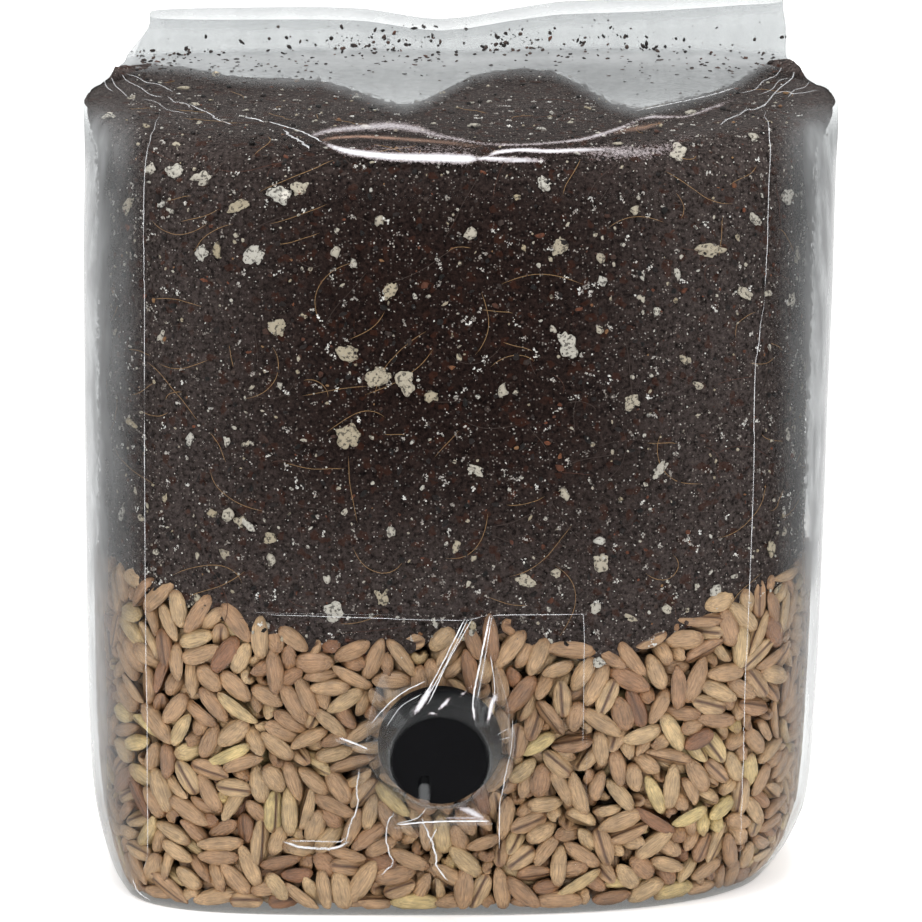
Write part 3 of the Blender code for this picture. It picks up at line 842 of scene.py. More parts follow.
@dataclass
class BagFilm:
    """The bag's film, with the fields that say how it lies on the filling."""

    shape: BagShape
    view: FrontView
    columns: int = 440
    wall_step: float = 1.0
    # painted highlights along the crest: each line's (x, h) places, strength and half width
    painted_glints: tuple = (
        (
            (-21.6, 50.2, 0.3, 0.22), (-20.2, 49.5, 0.9, 0.32), (-18.3, 48.9, 1.0, 0.46),
            (-16.1, 48.5, 1.0, 0.56), (-10.1, 47.9, 1.0, 0.66), (-2.2, 47.7, 1.0, 0.78),
            (1.0, 47.6, 1.0, 0.76), (2.9, 47.6, 0.5, 0.4),
        ),
        ((-18.5, 49.8, 0.1, 0.7), (-10.0, 49.2, 0.24, 0.9), (0.0, 49.0, 0.22, 0.9), (4.0, 48.8, 0.1, 0.5)),
        ((2.9, 47.7, 0.85, 0.3), (5.0, 47.6, 1.0, 0.36), (9.0, 47.4, 1.0, 0.36), (13.4, 47.4, 0.6, 0.25)),
        (
            (4.2, 48.0, 0.6, 0.2), (5.0, 48.4, 0.9, 0.26), (6.2, 48.7, 1.0, 0.3), (9.8, 49.0, 1.0, 0.32),
            (13.9, 48.8, 1.0, 0.32), (18.9, 49.0, 0.8, 0.36), (23.1, 49.1, 0.5, 0.4), (30.0, 49.6, 0.15, 0.6),
        ),
        ((18.0, 48.4, 0.15, 0.9), (25.0, 48.6, 0.42, 1.2), (30.0, 48.8, 0.36, 1.2), (37.0, 51.5, 0.1, 1.0)),
        (
            (-23.3, 51.3, 0.5, 0.35), (-20.8, 52.0, 0.55, 0.45), (-16.1, 52.5, 0.56, 0.6),
            (-11.5, 52.8, 0.56, 0.75), (-6.9, 52.3, 0.52, 0.7), (-4.6, 51.5, 0.5, 0.5),
            (0.0, 50.6, 0.52, 0.3), (4.7, 49.9, 0.5, 0.24), (8.8, 49.8, 0.5, 0.22), (13.9, 50.1, 0.5, 0.24),
            (18.6, 50.6, 0.6, 0.28), (22.2, 51.5, 0.65, 0.32), (25.5, 52.6, 0.6, 0.26),
            (28.5, 53.9, 0.5, 0.22), (30.1, 54.2, 0.6, 0.3), (34.6, 54.2, 0.42, 0.25), (39.4, 55.6, 0.5, 0.3),
            (43.0, 57.0, 0.2, 0.3),
        ),
    )
    # painted reflection: orange-brown streaks under the crest, in the same form
    painted_warm_reflections: tuple = (
        (
            (-21.8, 50.5, 0.3, 0.15), (-19.8, 50.9, 0.7, 0.17), (-15.8, 51.1, 0.75, 0.18),
            (-11.8, 50.9, 0.7, 0.2), (-7.8, 50.6, 0.5, 0.2), (-1.7, 50.1, 0.42, 0.18), (2.7, 49.5, 0.2, 0.15),
        ),
        ((24.2, 51.6, 0.15, 0.2), (26.3, 52.2, 0.3, 0.3), (28.8, 52.5, 0.36, 0.36), (31.2, 53.2, 0.25, 0.2)),
    )
    top_step: float = 0.4
    neck_step: float = 0.9

    def travel(self) -> np.ndarray:
        """Where the rings lie: closest over the crest and the top."""
        knots = self.shape.table()[1]
        low, foot, end = self.shape.mark(108.0), self.shape.neck_foot(), knots[-1]
        return np.concatenate(
            [
                np.arange(0, low, self.wall_step),
                np.arange(low, foot, self.top_step),
                np.arange(foot, end, self.neck_step),
                [end],
            ]
        )

    def surface(self) -> tuple:
        """The film's points and normals, ring by ring, with its ridges."""
        points = self.shape.grid(self.travel(), self.shape.angles(self.columns))
        normals = grid_normals(points)
        seen = self.view.project(points)
        flat = points.reshape(-1, 3)
        top = smoothstep(100, 112, points[..., 2]) * smoothstep(40, 34, points[..., 1])
        # the front panel over the crest puckers along two ridges that meet right of the middle
        lower = np.interp(
            seen[..., 0],
            (-60, -22, -17, -5, 2, 7, 22, 28, 36, 60),
            (52, 50, 48.4, 47.4, 47.2, 48.2, 48.8, 49.4, 51, 54),
        )
        upper = np.interp(
            seen[..., 0],
            (-24, -19, -11, -3, 3, 8.5, 15.6, 20.3, 25, 28, 36, 44),
            (51, 52.9, 53.4, 51.4, 50.1, 49.6, 49.8, 51, 52.4, 54.2, 54.5, 57),
        )
        within = smoothstep(-26, -18, seen[..., 0]) * smoothstep(46, 36, seen[..., 0])
        rise = 0.35 * np.exp(-(((seen[..., 1] - lower) / 0.9) ** 2))
        rise += 0.55 * np.exp(-(((seen[..., 1] - upper) / 0.8) ** 2))
        offset = top * within * rise
        # broad slack undulation everywhere, and finer folds at the ears
        broad = lattice_noise(flat, 21.0, 3).reshape(offset.shape)
        fine = lattice_noise(flat * np.array([1.0, 1.0, 0.6]), 6.0, 4).reshape(offset.shape)
        ears = smoothstep(34, 52, np.abs(points[..., 0])) * smoothstep(108, 118, points[..., 2])
        offset -= (0.25 + 0.25 * top) * (broad + 1) / 2 + (0.04 + 0.3 * ears) * (fine + 1) / 2
        offset *= smoothstep(0.0, 8.0, points[..., 2])
        thin = smoothstep(123.0, 127.0, points[..., 2]) + smoothstep(45.0, 45.5, points[..., 1])
        offset *= 1 - np.clip(thin, 0, 1)
        points = points + normals * offset[..., None]
        # the fold at the neck's top hangs lower in the middle and on the left
        places = (-50, -25, -15, -3, 3, 10, 16, 30, 45)
        drop = np.interp(points[..., 0], places, (1.6, 1.8, 2.0, 2.6, 2.7, 2.2, 1.5, 1.2, 0.4))
        points[..., 2] -= drop * np.clip((points[..., 2] - 120.5) / 12.0, 0, 1)
        return points, grid_normals(points)

    def fields(self, points: np.ndarray, normals: np.ndarray, filling: "Filling") -> tuple:
        """Each point's haze and its painted shade, gloss, crease, painted highlight and painted reflection.

        Args:
            points: The film's points.
            normals: Their normals.
            filling: What lies behind the film.

        Returns:
            Six arrays, one value a point.
        """
        seen = self.view.project(points)
        x, h = seen[..., 0], seen[..., 1]
        towards = unit(self.view.eye() - points)
        faces = smoothstep(-0.05, 0.1, np.sum(normals * towards, axis=-1))
        front = smoothstep(36, 30, points[..., 1])
        neck = smoothstep(self.shape.neck_foot() - 3, self.shape.neck_foot() + 2, self.travel())[:, None]
        flat = points.reshape(-1, 3)
        top = smoothstep(112, 118, points[..., 2])
        gap = (points[..., 2] - filling.crown(flat).reshape(x.shape)) * top
        # haze where the film stands off the filling at the left and right bands; its grey there also stands
        # for the film's grazing reflection: painted reflection
        sides = 0.52 * smoothstep(-49, -57, x) + 0.34 * smoothstep(-55.0, -57.4, x)
        sides += 0.46 * smoothstep(48.5, 55.5, x) + 0.42 * smoothstep(53.4, 55.6, x)
        reach = smoothstep(26, -14, points[..., 1])
        haze = reach * sides * smoothstep(57.5, 50, h) * (1 - 0.2 * smoothstep(-17, -24, h))
        # the film over the hollow top is milky, and its haze is painted palest towards the neck
        foot = self.shape.neck_foot()
        close = smoothstep(foot - 11, foot - 1, self.travel())[:, None] * top
        veil = (0.6 + 0.1 * smoothstep(5, 20, x) + 0.28 * close) * smoothstep(-1.9, 1.5, gap)
        veil *= top * (1 - neck)
        haze = np.maximum(haze, veil)
        # over the neck's fold the film is seen edge on, through fewer layers but each one thicker
        rolled = smoothstep(2.0, 0.7, points[..., 2].max(axis=0) - points[..., 2])
        low = smoothstep(foot + 7, foot, self.travel())[:, None]
        haze = np.maximum(haze, (0.13 + 0.28 * rolled + 0.18 * low) * neck)
        # painted light and shade on the haze's grey: paler on the top's left and towards the neck, darker at
        # the left and right edges, less so low down
        paler = 0.6 + 0.25 * smoothstep(10, -10, x) * top + 0.4 * close
        corner = (0.36 + 0.06 * (x > 0)) * smoothstep(51.0, 57.0, np.abs(x)) + 0.2 * smoothstep(46.0, 50.0, x)
        paler = paler - corner * (1 - top) * (1 - 0.8 * smoothstep(-14, -28, h))
        paler = np.clip(paler, 0, 1)
        # painted highlights along the crest, on the front only
        painted_glint = np.zeros(x.shape)
        for line in self.painted_glints:
            painted_glint = np.maximum(painted_glint, front * stroke_field(seen, line, 1.0))
        # painted reflection: orange-brown streaks under the crest
        painted_warm_reflection = np.zeros(x.shape)
        for line in self.painted_warm_reflections:
            painted_warm_reflection = np.maximum(painted_warm_reflection, front * stroke_field(seen, line, 1.0))
        gloss = 0.3 + 0.25 * faces * smoothstep(45, 56, np.abs(x))
        gloss = gloss * (1 - top) + top * (0.05 + 0.2 * smoothstep(0.8, 3.0, gap))
        gloss = gloss * (1 - neck) + 0.04 * neck
        ears = smoothstep(30, 50, np.abs(points[..., 0]))
        crease = 0.12 + 0.5 * ears * smoothstep(106, 116, points[..., 2])
        return haze, paler, gloss, crease, painted_glint, painted_warm_reflection

    def build(self, filling: "Filling") -> "Skin":
        """Makes the film: the tube, a base drawn in to its middle, and the sealed end of the tail.

        Args:
            filling: What lies behind the film.

        Returns:
            The near side of its surface.
        """
        points, normals = self.surface()
        fields = self.fields(points, normals, filling)
        columns = self.columns
        base = points[0]
        middle = base.mean(axis=0)
        shares = np.array([0.96, 0.88, 0.75, 0.55, 0.3])
        inner = middle + (base - middle) * shares[:, None, None]
        inner[..., 2] = 0.6 * (1 - shares[:, None] ** 6)
        pole = np.append(middle[:2], 0.6)
        tube = np.concatenate([inner[::-1], points])
        everything = np.concatenate([tube.reshape(-1, 3), pole[None]])
        obj = new_piece("film_bag", everything, sack_faces(len(tube), columns), FilmMaterial().build())
        for name, values in zip(("haze", "paler", "gloss", "crease", "painted_glint", "painted_warm_reflection"), fields):
            inner_values = np.full((len(shares), columns), float(values[0].mean()))
            ends = np.full(1, float(values[0].mean()))
            set_attribute(obj, name, np.concatenate([inner_values.ravel(), values.ravel(), ends]))
        dress(obj, Slot.FILM, "bag_film")
        return Skin.of(self.view, points, normals)


@dataclass(frozen=True)
class SubstrateMaterial(Finish):
    """Moist coir pith: near-black brown crumb with reddish bits, matt.

    Fine cells and noise vary the colour between black, brown and red-brown, and bump the surface.
    """

    name: str = "moist_coir_pith"
    dark: str = "#060303"
    mid: str = "#2A1A15"
    red: str = "#43261B"
    dry_dark: str = "#181413"
    dry_pale: str = "#665C59"
    dust: str = "#9C948E"

    def lay(self, tree: bpy.types.NodeTree) -> bpy.types.Node:
        """Lays the nodes.

        Args:
            tree: The material's node tree.

        Returns:
            The shader.
        """
        place = add_node(tree, "TexCoord").outputs["Object"]
        grainy = add_node(
            tree, "TexNoise", {"Vector": place, "Scale": 1500.0, "Detail": 6.0, "Roughness": 0.75}
        )
        bits = add_node(tree, "TexVoronoi", {"Vector": place, "Scale": 1000.0})
        dry = add_node(tree, "Attribute", attribute_name="dry").outputs["Fac"]
        ramps = []
        for low, high in ((self.dark, self.mid), (self.dry_dark, self.dry_pale)):
            ramp = add_node(tree, "ValToRGB", {"Fac": grainy})
            set_stops(ramp, ((0.36, low), (0.64, high)))
            ramps.append(ramp)
        # away from where the film presses on it, the pith is drier and paler
        mixed = add_node(tree, "Mix", {"Factor": dry, 6: ramps[0], 7: ramps[1]}, data_type="RGBA")
        spots = add_node(tree, "SeparateColor", {"Color": bits.outputs["Color"]})
        chosen = add_node(tree, "MapRange", {"Value": spots, 1: 0.9, 2: 0.95, 3: 0.0, 4: 0.5})
        mixed = add_node(tree, "Mix", {"Factor": chosen, 6: mixed, 7: linear(self.red)}, data_type="RGBA")
        # fine mineral dust: a dot in some of the cells, brighter in some than in others
        dots = add_node(tree, "TexVoronoi", {"Vector": place, "Scale": 2300.0})
        near = add_node(
            tree, "MapRange", {"Value": dots.outputs["Distance"], 1: 0.2, 2: 0.36, 3: 1.0, 4: 0.0}
        )
        kind = add_node(tree, "SeparateColor", {"Color": dots.outputs["Color"]})
        some = add_node(tree, "MapRange", {"Value": kind, 1: 0.72, 2: 1.0, 3: 0.0, 4: 1.0})
        dusty = add_node(tree, "Math", {0: near, 1: some}, operation="MULTIPLY")
        mixed = add_node(tree, "Mix", {"Factor": dusty, 6: mixed, 7: linear(self.dust)}, data_type="RGBA")
        bump = add_node(tree, "Bump", {"Height": grainy, "Strength": 0.9, "Distance": 0.5 * MM})
        shader = add_node(
            tree,
            "BsdfPrincipled",
            {"Base Color": mixed, "Roughness": 0.9, "Specular IOR Level": 0.06, "Normal": bump},
        )
        return shader


@dataclass
class Substrate:
    """The dark block: its lumpy surface under the film, and the crumbs, flakes and fibres on it."""

    shape: BagShape
    view: FrontView
    filling: Filling
    columns: int = 360
    film_gap: float = 1.0

    def surface(self) -> tuple:
        """Points and normals of the block's surface, ring by ring.

        The film's loft is drawn in by the gap, which widens at the sides, then lowered to the crown,
        raised to the grain, and roughened by noise at three scales.
        """
        travel = np.arange(self.shape.mark(38.0), self.shape.neck_foot(), 0.75)
        loft = self.shape.grid(travel, self.shape.angles(self.columns))
        normals = grid_normals(loft)
        flat = loft.reshape(-1, 3)
        side = np.abs(loft[..., 0]) / (self.shape.width / 2)
        wide = np.where(loft[..., 0] > 0, 2.7, 1.5) * smoothstep(0.84, 1.0, side)
        wide *= smoothstep(120.5, 114.0, loft[..., 2])
        lumps = 0.5 * lattice_noise(flat, 3.1, 21) + 0.35 * lattice_noise(flat, 1.3, 22)
        lumps += 0.5 * lattice_noise(flat, 9.0, 23)
        rough = 0.45 * (1 - 0.7 * smoothstep(0.9, 1.0, side))
        gap = self.film_gap + wide + rough * (lumps.reshape(side.shape) + 0.6)
        points = loft - normals * gap[..., None]
        flat = points.reshape(-1, 3)
        jagged = 0.5 * lattice_noise(flat, 2.2, 24)
        flat[:, 2] = np.minimum(flat[:, 2], self.filling.crown(flat) + jagged)
        flat[:, 2] = np.maximum(flat[:, 2], self.filling.bed_top(flat) - 1.0 + 1.6 * jagged)
        room, out = self.shape.inside(flat)
        push = np.maximum(self.film_gap - room, 0) * (flat[:, 2] < 117)
        points = (flat - out * push[:, None]).reshape(points.shape)
        return points, grid_normals(points)

    def build_block(self, points: np.ndarray) -> bpy.types.Object:
        """Makes the block's surface, closed below by a fan and above by a strip.

        Args:
            points: The surface's points.

        Returns:
            The piece.
        """
        pole = points[0].mean(axis=0)
        everything = np.concatenate([points.reshape(-1, 3), pole[None]])
        obj = new_piece("coir_block", everything, sack_faces(*points.shape[:2]), SubstrateMaterial().build())
        seen = self.view.project(everything)
        wet = np.exp(-(((seen[:, 0] + 3) / 34) ** 4) - (((seen[:, 1] - 19) / 34) ** 4))
        set_attribute(obj, "dry", 0.75 * (1 - 0.9 * wet * (everything[:, 1] < 0)))
        dress(obj, Slot.SUBSTRATE, "substrate_block")
        return obj


@dataclass(frozen=True)
class KernelMaterial(Finish):
    """Soaked wheat bran: tan to reddish, satin, with a dark crease and a paler germ.

    The kernel's own place attribute paints the crease and germ, its tone picks the colour, and noise
    stretched along the kernel bumps fine wrinkles and paints shade in their furrows. An attribute of depth
    behind the film paints shade on the deeper kernels.
    """

    name: str = "soaked_wheat_bran"
    stops: tuple = ((0.0, "#8A5F42"), (0.16, "#A27B5A"), (0.5, "#B8946F"), (0.8, "#C2A37B"), (1.0, "#D0B77F"))
    groove: str = "#5E3F2A"
    germ: str = "#7E5430"

    def lay(self, tree: bpy.types.NodeTree) -> bpy.types.Node:
        """Lays the nodes.

        Args:
            tree: The material's node tree.

        Returns:
            The shader.
        """
        tone = add_node(tree, "Attribute", attribute_name="tone").outputs["Fac"]
        own = add_node(tree, "Attribute", attribute_name="own_place").outputs["Vector"]
        place = add_node(tree, "TexCoord").outputs["Object"]
        axes = add_node(tree, "SeparateXYZ", {0: own})
        ramp = add_node(tree, "ValToRGB", {"Fac": tone})
        set_stops(ramp, self.stops)
        blotch = add_node(tree, "TexNoise", {"Vector": place, "Scale": 420.0, "Detail": 4.0})
        patchy = add_node(tree, "MapRange", {"Value": blotch, 1: 0.3, 2: 0.7, 3: 0.7, 4: 1.2})
        coloured = add_node(
            tree, "Mix", {"Factor": 1.0, 6: ramp, 7: patchy}, data_type="RGBA", blend_type="MULTIPLY"
        )
        # crease: under the kernel and near its middle line, darker by its own colour and by painted shade
        side = add_node(tree, "Math", {0: axes.outputs["Y"]}, operation="ABSOLUTE")
        near = add_node(tree, "MapRange", {"Value": side, 1: 0.05, 2: 0.27, 3: 1.0, 4: 0.0})
        under = add_node(tree, "MapRange", {"Value": axes.outputs["Z"], 1: -0.05, 2: -0.25, 3: 0.0, 4: 1.0})
        crease = add_node(tree, "Math", {0: near, 1: under}, operation="MULTIPLY")
        creased = add_node(
            tree, "Mix", {"Factor": crease, 6: coloured, 7: linear(self.groove)}, data_type="RGBA"
        )
        # germ: the blunt end of the back
        germ = add_node(tree, "MapRange", {"Value": axes.outputs["X"], 1: -0.66, 2: -0.95, 3: 0.0, 4: 0.6})
        finished = add_node(tree, "Mix", {"Factor": germ, 6: creased, 7: linear(self.germ)}, data_type="RGBA")
        stretch = add_node(tree, "Mapping", {"Vector": own, "Scale": (1.1, 5.0, 5.0)})
        own_pattern = add_node(tree, "Math", {0: tone, 1: 53.0}, operation="MULTIPLY")
        ribs = add_node(
            tree,
            "TexNoise",
            {"Vector": stretch, "W": own_pattern, "Scale": 1.5, "Detail": 5.0},
            noise_dimensions="4D",
        )
        # painted shade: darker where a kernel lies deeper behind the film, and darker in the furrows of the
        # wrinkles
        painted_depth_shade = add_node(tree, "Attribute", attribute_name="painted_depth_shade").outputs["Fac"]
        wrinkles_and_painted_shade = add_node(tree, "MapRange", {"Value": ribs, 1: 0.36, 2: 0.6, 3: 0.7, 4: 1.13})
        wrinkles_and_painted_shade = add_node(tree, "Math", {0: wrinkles_and_painted_shade, 1: painted_depth_shade}, operation="MULTIPLY")
        finished = add_node(
            tree, "Mix", {"Factor": 1.0, 6: finished, 7: wrinkles_and_painted_shade}, data_type="RGBA", blend_type="MULTIPLY"
        )
        bump = add_node(tree, "Bump", {"Height": ribs, "Strength": 0.8, "Distance": 0.4 * MM})
        shader = add_node(
            tree,
            "BsdfPrincipled",
            {"Base Color": finished, "Roughness": 0.3, "Specular IOR Level": 0.75, "Normal": bump},
        )
        return shader


@dataclass(frozen=True)
class InnerGrainMaterial(Finish):
    """Grain deep in the bed, where no light comes: dark brown, mottled, matt."""

    name: str = "shaded_inner_grain"
    stops: tuple = ((0.0, "#1E120A"), (1.0, "#43290F"))

    def lay(self, tree: bpy.types.NodeTree) -> bpy.types.Node:
        """Lays the nodes.

        Args:
            tree: The material's node tree.

        Returns:
            The shader.
        """
        place = add_node(tree, "TexCoord").outputs["Object"]
        mottle = add_node(tree, "TexNoise", {"Vector": place, "Scale": 300.0, "Detail": 4.0})
        ramp = add_node(tree, "ValToRGB", {"Fac": mottle})
        set_stops(ramp, self.stops)
        return add_node(tree, "BsdfPrincipled", {"Base Color": ramp, "Roughness": 0.8})


@dataclass
class GrainBed:
    """Kernels of wheat packed behind the film, on a dark core."""

    shape: BagShape
    filling: Filling
    count: int = 4000
    length: float = 6.7
    width: float = 3.35
    depth: float = 2.95
    shell: float = 7.4
    floor: float = 0.8
    clearance: float = 0.75
    side_clearance: float = 1.0
    bottom: float = 7.0
    box: tuple = ((-59, -43, 1), (59, 46, 53))
    tries: int = 20000
    rounds: int = 70
    core_columns: int = 160
    core_depth: float = 5.6
    seed: int = 7

    def scatter(self, draw: np.random.Generator) -> tuple:
        """Random places in the shell behind the film, and directions mostly level with the film."""
        places = []
        total = 0
        while total < self.count:
            tries = draw.uniform(*self.box, (self.tries, 3))
            room, _ = self.shape.inside(tries)
            good = (room > 1.5) & (tries[:, 2] < self.filling.bed_top(tries))
            good &= (room < self.shell) | (tries[:, 2] < self.floor + self.bottom)
            places.append(tries[good])
            total += int(good.sum())
        centres = np.concatenate(places)[: self.count]
        room, out = self.shape.inside(centres)
        directions = unit(draw.normal(size=(self.count, 3)))
        lean = np.where(room < 4.5, 0.4, 0.9)[:, None]
        directions -= out * np.sum(directions * out, axis=1, keepdims=True) * (1 - lean)
        return centres, unit(directions)

    def side_gap(self, points: np.ndarray) -> np.ndarray:
        """How far the slack film at the sides stands off the grain: more on the right."""
        share = np.where(points[:, 0] > 0, 1.8, 1.0) * smoothstep(48, 57, np.abs(points[:, 0]))
        return self.side_clearance * share

    def pairs(self, points: np.ndarray, reach: float) -> tuple:
        """Pairs of points closer than the reach, by sorting the points into cubes of that size."""
        cell = np.floor((points - points.min(axis=0)) / reach).astype(np.int64) + 1
        size = cell.max(axis=0) + 2
        key = (cell[:, 0] * size[1] + cell[:, 1]) * size[2] + cell[:, 2]
        order = np.argsort(key, kind="stable")
        ordered = key[order]
        firsts, seconds = [], []
        for dx, dy, dz in np.ndindex(3, 3, 3):
            jump = ((dx - 1) * size[1] + (dy - 1)) * size[2] + (dz - 1)
            if jump < 0:
                continue
            start = np.searchsorted(ordered, key + jump, "left")
            count = np.searchsorted(ordered, key + jump, "right") - start
            first = np.repeat(np.arange(len(points)), count)
            ramp = np.arange(count.sum()) - np.repeat(np.cumsum(count) - count, count)
            second = order[np.repeat(start, count) + ramp]
            keep = first < second if jump == 0 else np.full(len(first), True)
            near = np.sum((points[first] - points[second]) ** 2, axis=1) < reach**2
            firsts.append(first[keep & near])
            seconds.append(second[keep & near])
        return np.concatenate(firsts), np.concatenate(seconds)

    def settle(self, centres: np.ndarray, directions: np.ndarray) -> tuple:
        """Pushes overlapping kernels apart and keeps them between the film and the core.

        Each kernel is four balls along its axis. A ball that overlaps another kernel's, or the film,
        floor or top of the bed, is moved out, and its kernel follows and turns.
        """
        along = np.array([-0.34, -0.12, 0.12, 0.34]) * self.length
        radii = np.array([0.74, 0.97, 0.97, 0.74]) * (self.width + self.depth) / 4
        owner = np.repeat(np.arange(len(centres)), 4)
        radius = np.tile(radii, len(centres))
        for turn in range(self.rounds):
            balls = (centres[:, None] + directions[:, None] * along[None, :, None]).reshape(-1, 3)
            if turn % 4 == 0:
                first, second = self.pairs(balls, 2 * radii.max() + 0.8)
                apart = owner[first] != owner[second]
                first, second = first[apart], second[apart]
            between = balls[second] - balls[first]
            distance = np.linalg.norm(between, axis=1) + 1e-6
            overlap = np.maximum(radius[first] + radius[second] - distance, 0)
            push = between / distance[:, None] * (overlap * 0.5)[:, None]
            move = np.zeros_like(balls)
            hits = np.zeros(len(balls))
            np.add.at(move, second, push)
            np.add.at(move, first, -push)
            np.add.at(hits, second, overlap > 0)
            np.add.at(hits, first, overlap > 0)
            move /= np.maximum(hits, 1.0)[:, None] ** 0.5
            room, out = self.shape.inside(balls)
            move -= out * np.maximum(radius + 0.25 + self.side_gap(balls) - room, 0)[:, None]
            core = np.minimum(room + radius - self.shell, balls[:, 2] + radius - self.floor - self.bottom)
            outward = (room + radius - self.shell) < (balls[:, 2] + radius - self.floor - self.bottom)
            pull = np.maximum(core, 0)
            move += out * np.where(outward, pull, 0)[:, None]
            move[:, 2] -= np.where(outward, 0, pull)
            move += out * (0.06 * (room < self.shell))[:, None]
            move[:, 2] += np.maximum(self.floor + radius - balls[:, 2], 0)
            move[:, 2] -= np.maximum(balls[:, 2] + radius - self.filling.bed_top(balls) - 1.2, 0) * 0.5
            move = np.clip(move, -1.0, 1.0)
            centres = centres + move.reshape(-1, 4, 3).mean(axis=1)
            torque = (move.reshape(-1, 4, 3) * along[None, :, None]).sum(axis=1) / (along**2).sum()
            torque -= directions * np.sum(torque * directions, axis=1, keepdims=True)
            directions = unit(directions + torque)
        return centres, directions

    def template(self) -> tuple:
        """One kernel: seven rings of eight points and two ends, with its crease underneath.

        Its x runs from the germ end at -1 to the brush end at 1, y is across and z is up its back.

        Returns:
            Points, quads and triangles.
        """
        along = np.array([-0.96, -0.80, -0.42, 0.02, 0.46, 0.80, 0.96])
        girth = np.array([0.30, 0.66, 0.95, 1.0, 0.86, 0.54, 0.24])
        turn = math.pi / 2 + 2 * math.pi * np.arange(8) / 8
        y, z = np.cos(turn), np.sin(turn)
        z = np.where(z > 0, 0.95 * z, 0.86 * z)
        z[4] = -0.36
        rings = np.stack(
            [np.broadcast_to(along[:, None], (7, 8)), girth[:, None] * y, girth[:, None] * z], axis=-1
        )
        rings[..., 2] += 0.10 * (1 - along[:, None] ** 2) - 0.06
        points = np.concatenate([rings.reshape(-1, 3), [[-1.0, 0, -0.05]], [[1.0, 0, -0.05]]])
        return points, tube_faces(7, 8)[:, ::-1], end_fans(7, 8)

    def build(self) -> list:
        """Packs the kernels and makes them, in parts that stay small, and the core behind them."""
        draw = np.random.default_rng(self.seed)
        centres, directions = self.settle(*self.scatter(draw))
        points, quads, triangles = self.template()
        own = points.copy()
        count = len(centres)
        sizes = np.stack(
            [
                self.length / 2 * draw.uniform(0.74, 1.2, count),
                self.width / 2 * draw.uniform(0.8, 1.12, count),
                self.depth / 2 * draw.uniform(0.8, 1.12, count),
            ],
            axis=1,
        )
        spin = draw.normal(size=(count, 3))
        third = unit(np.cross(directions, spin))
        _, outward = self.shape.inside(centres)
        inward = (np.sum(third * outward, axis=1) < 0) & (draw.random(count) < 0.5)
        third = np.where(inward[:, None], -third, third)
        second = np.cross(third, directions)
        turned = np.stack([directions, second, third], axis=1)
        local = points[None] * sizes[:, None, :]
        placed = np.einsum("kvi,kij->kvj", local, turned) + centres[:, None]
        flat = placed.reshape(-1, 3)
        room, out = self.shape.inside(flat)
        flat -= out * np.maximum(self.clearance + 0.6 * self.side_gap(flat) - room, 0)[:, None]
        flat[:, 2] = np.maximum(flat[:, 2], self.floor)
        placed = flat.reshape(placed.shape)
        # painted shade: points deeper behind the film are darkened
        painted_depth_shade = 1 - 0.74 * smoothstep(1.5, 4.4, room.reshape(count, -1))
        tone = np.clip(draw.normal(0.5, 0.24, count), 0, 1)
        material = KernelMaterial().build()
        made = []
        parts = np.array_split(np.arange(count), 3)
        for part, chosen in enumerate(parts):
            offsets = (np.arange(len(chosen)) * len(points))[:, None, None]
            faces = [(group[None] + offsets).reshape(-1, group.shape[1]) for group in (quads, triangles)]
            obj = new_piece(f"wheat_kernels_{part + 1}", placed[chosen].reshape(-1, 3), faces, material)
            set_attribute(obj, "tone", np.repeat(tone[chosen], len(points)))
            set_attribute(obj, "own_place", np.tile(own, (len(chosen), 1)))
            set_attribute(obj, "painted_depth_shade", painted_depth_shade[chosen].ravel())
            dress(obj, Slot.GRAIN, *(("grain_bed",) if part == 0 else ()))
            made.append(obj)
        made.append(self.build_core())
        return made

    def build_core(self) -> bpy.types.Object:
        """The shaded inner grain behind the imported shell, as one lumpy closed form."""
        columns = self.core_columns
        travel = np.arange(self.shape.mark(6.0), self.shape.mark(50.0), 1.6)
        loft = self.shape.grid(travel, self.shape.angles(columns))
        normals = grid_normals(loft)
        flat = loft.reshape(-1, 3)
        depth = self.core_depth + 0.8 * lattice_noise(flat, 4.0, 31)
        flat = flat - normals.reshape(-1, 3) * depth[:, None]
        flat[:, 2] = np.minimum(flat[:, 2], self.filling.bed_top(flat) - 2.0)
        poles = np.array([flat[:columns].mean(axis=0), flat[-columns:].mean(axis=0)])
        faces = [tube_faces(len(travel), columns), end_fans(len(travel), columns)[:, [1, 0, 2]]]
        obj = new_piece("inner_grain", np.concatenate([flat, poles]), faces, InnerGrainMaterial().build())
        dress(obj, Slot.GRAIN)
        return obj


@dataclass(frozen=True)
class Skin:
    """The near side of a surface as the front view shows it, for placing small things on it."""

    points: np.ndarray
    normals: np.ndarray
    seen: np.ndarray

    @classmethod
    def of(cls, view: FrontView, points: np.ndarray, normals: np.ndarray, depth: float = 41.0) -> "Skin":
        """The part of a surface that faces the view.

        Args:
            view: The front view.
            points: The surface's points.
            normals: Their normals.
            depth: How far back the part reaches.

        Returns:
            The skin.
        """
        points, normals = points.reshape(-1, 3), normals.reshape(-1, 3)
        towards = unit(view.eye() - points)
        kept = (np.sum(normals * towards, axis=1) > 0.02) & (points[:, 1] < depth)
        return cls(points[kept], normals[kept], view.project(points[kept]))

    def at(self, places: np.ndarray) -> tuple:
        """The surface under each place of the view: the six nearest points, nearer ones counting more.

        Args:
            places: The (x, h) places, one a row.

        Returns:
            Points and unit normals.
        """
        gaps = np.sum((self.seen[None] - places[:, None]) ** 2, axis=2)
        nearest = np.argpartition(gaps, 6, axis=1)[:, :6]
        weight = 1 / (np.take_along_axis(gaps, nearest, axis=1) + 0.02)
        weight /= weight.sum(axis=1, keepdims=True)
        points = np.sum(self.points[nearest] * weight[..., None], axis=1)
        normals = np.sum(self.normals[nearest] * weight[..., None], axis=1)
        return points, unit(normals)


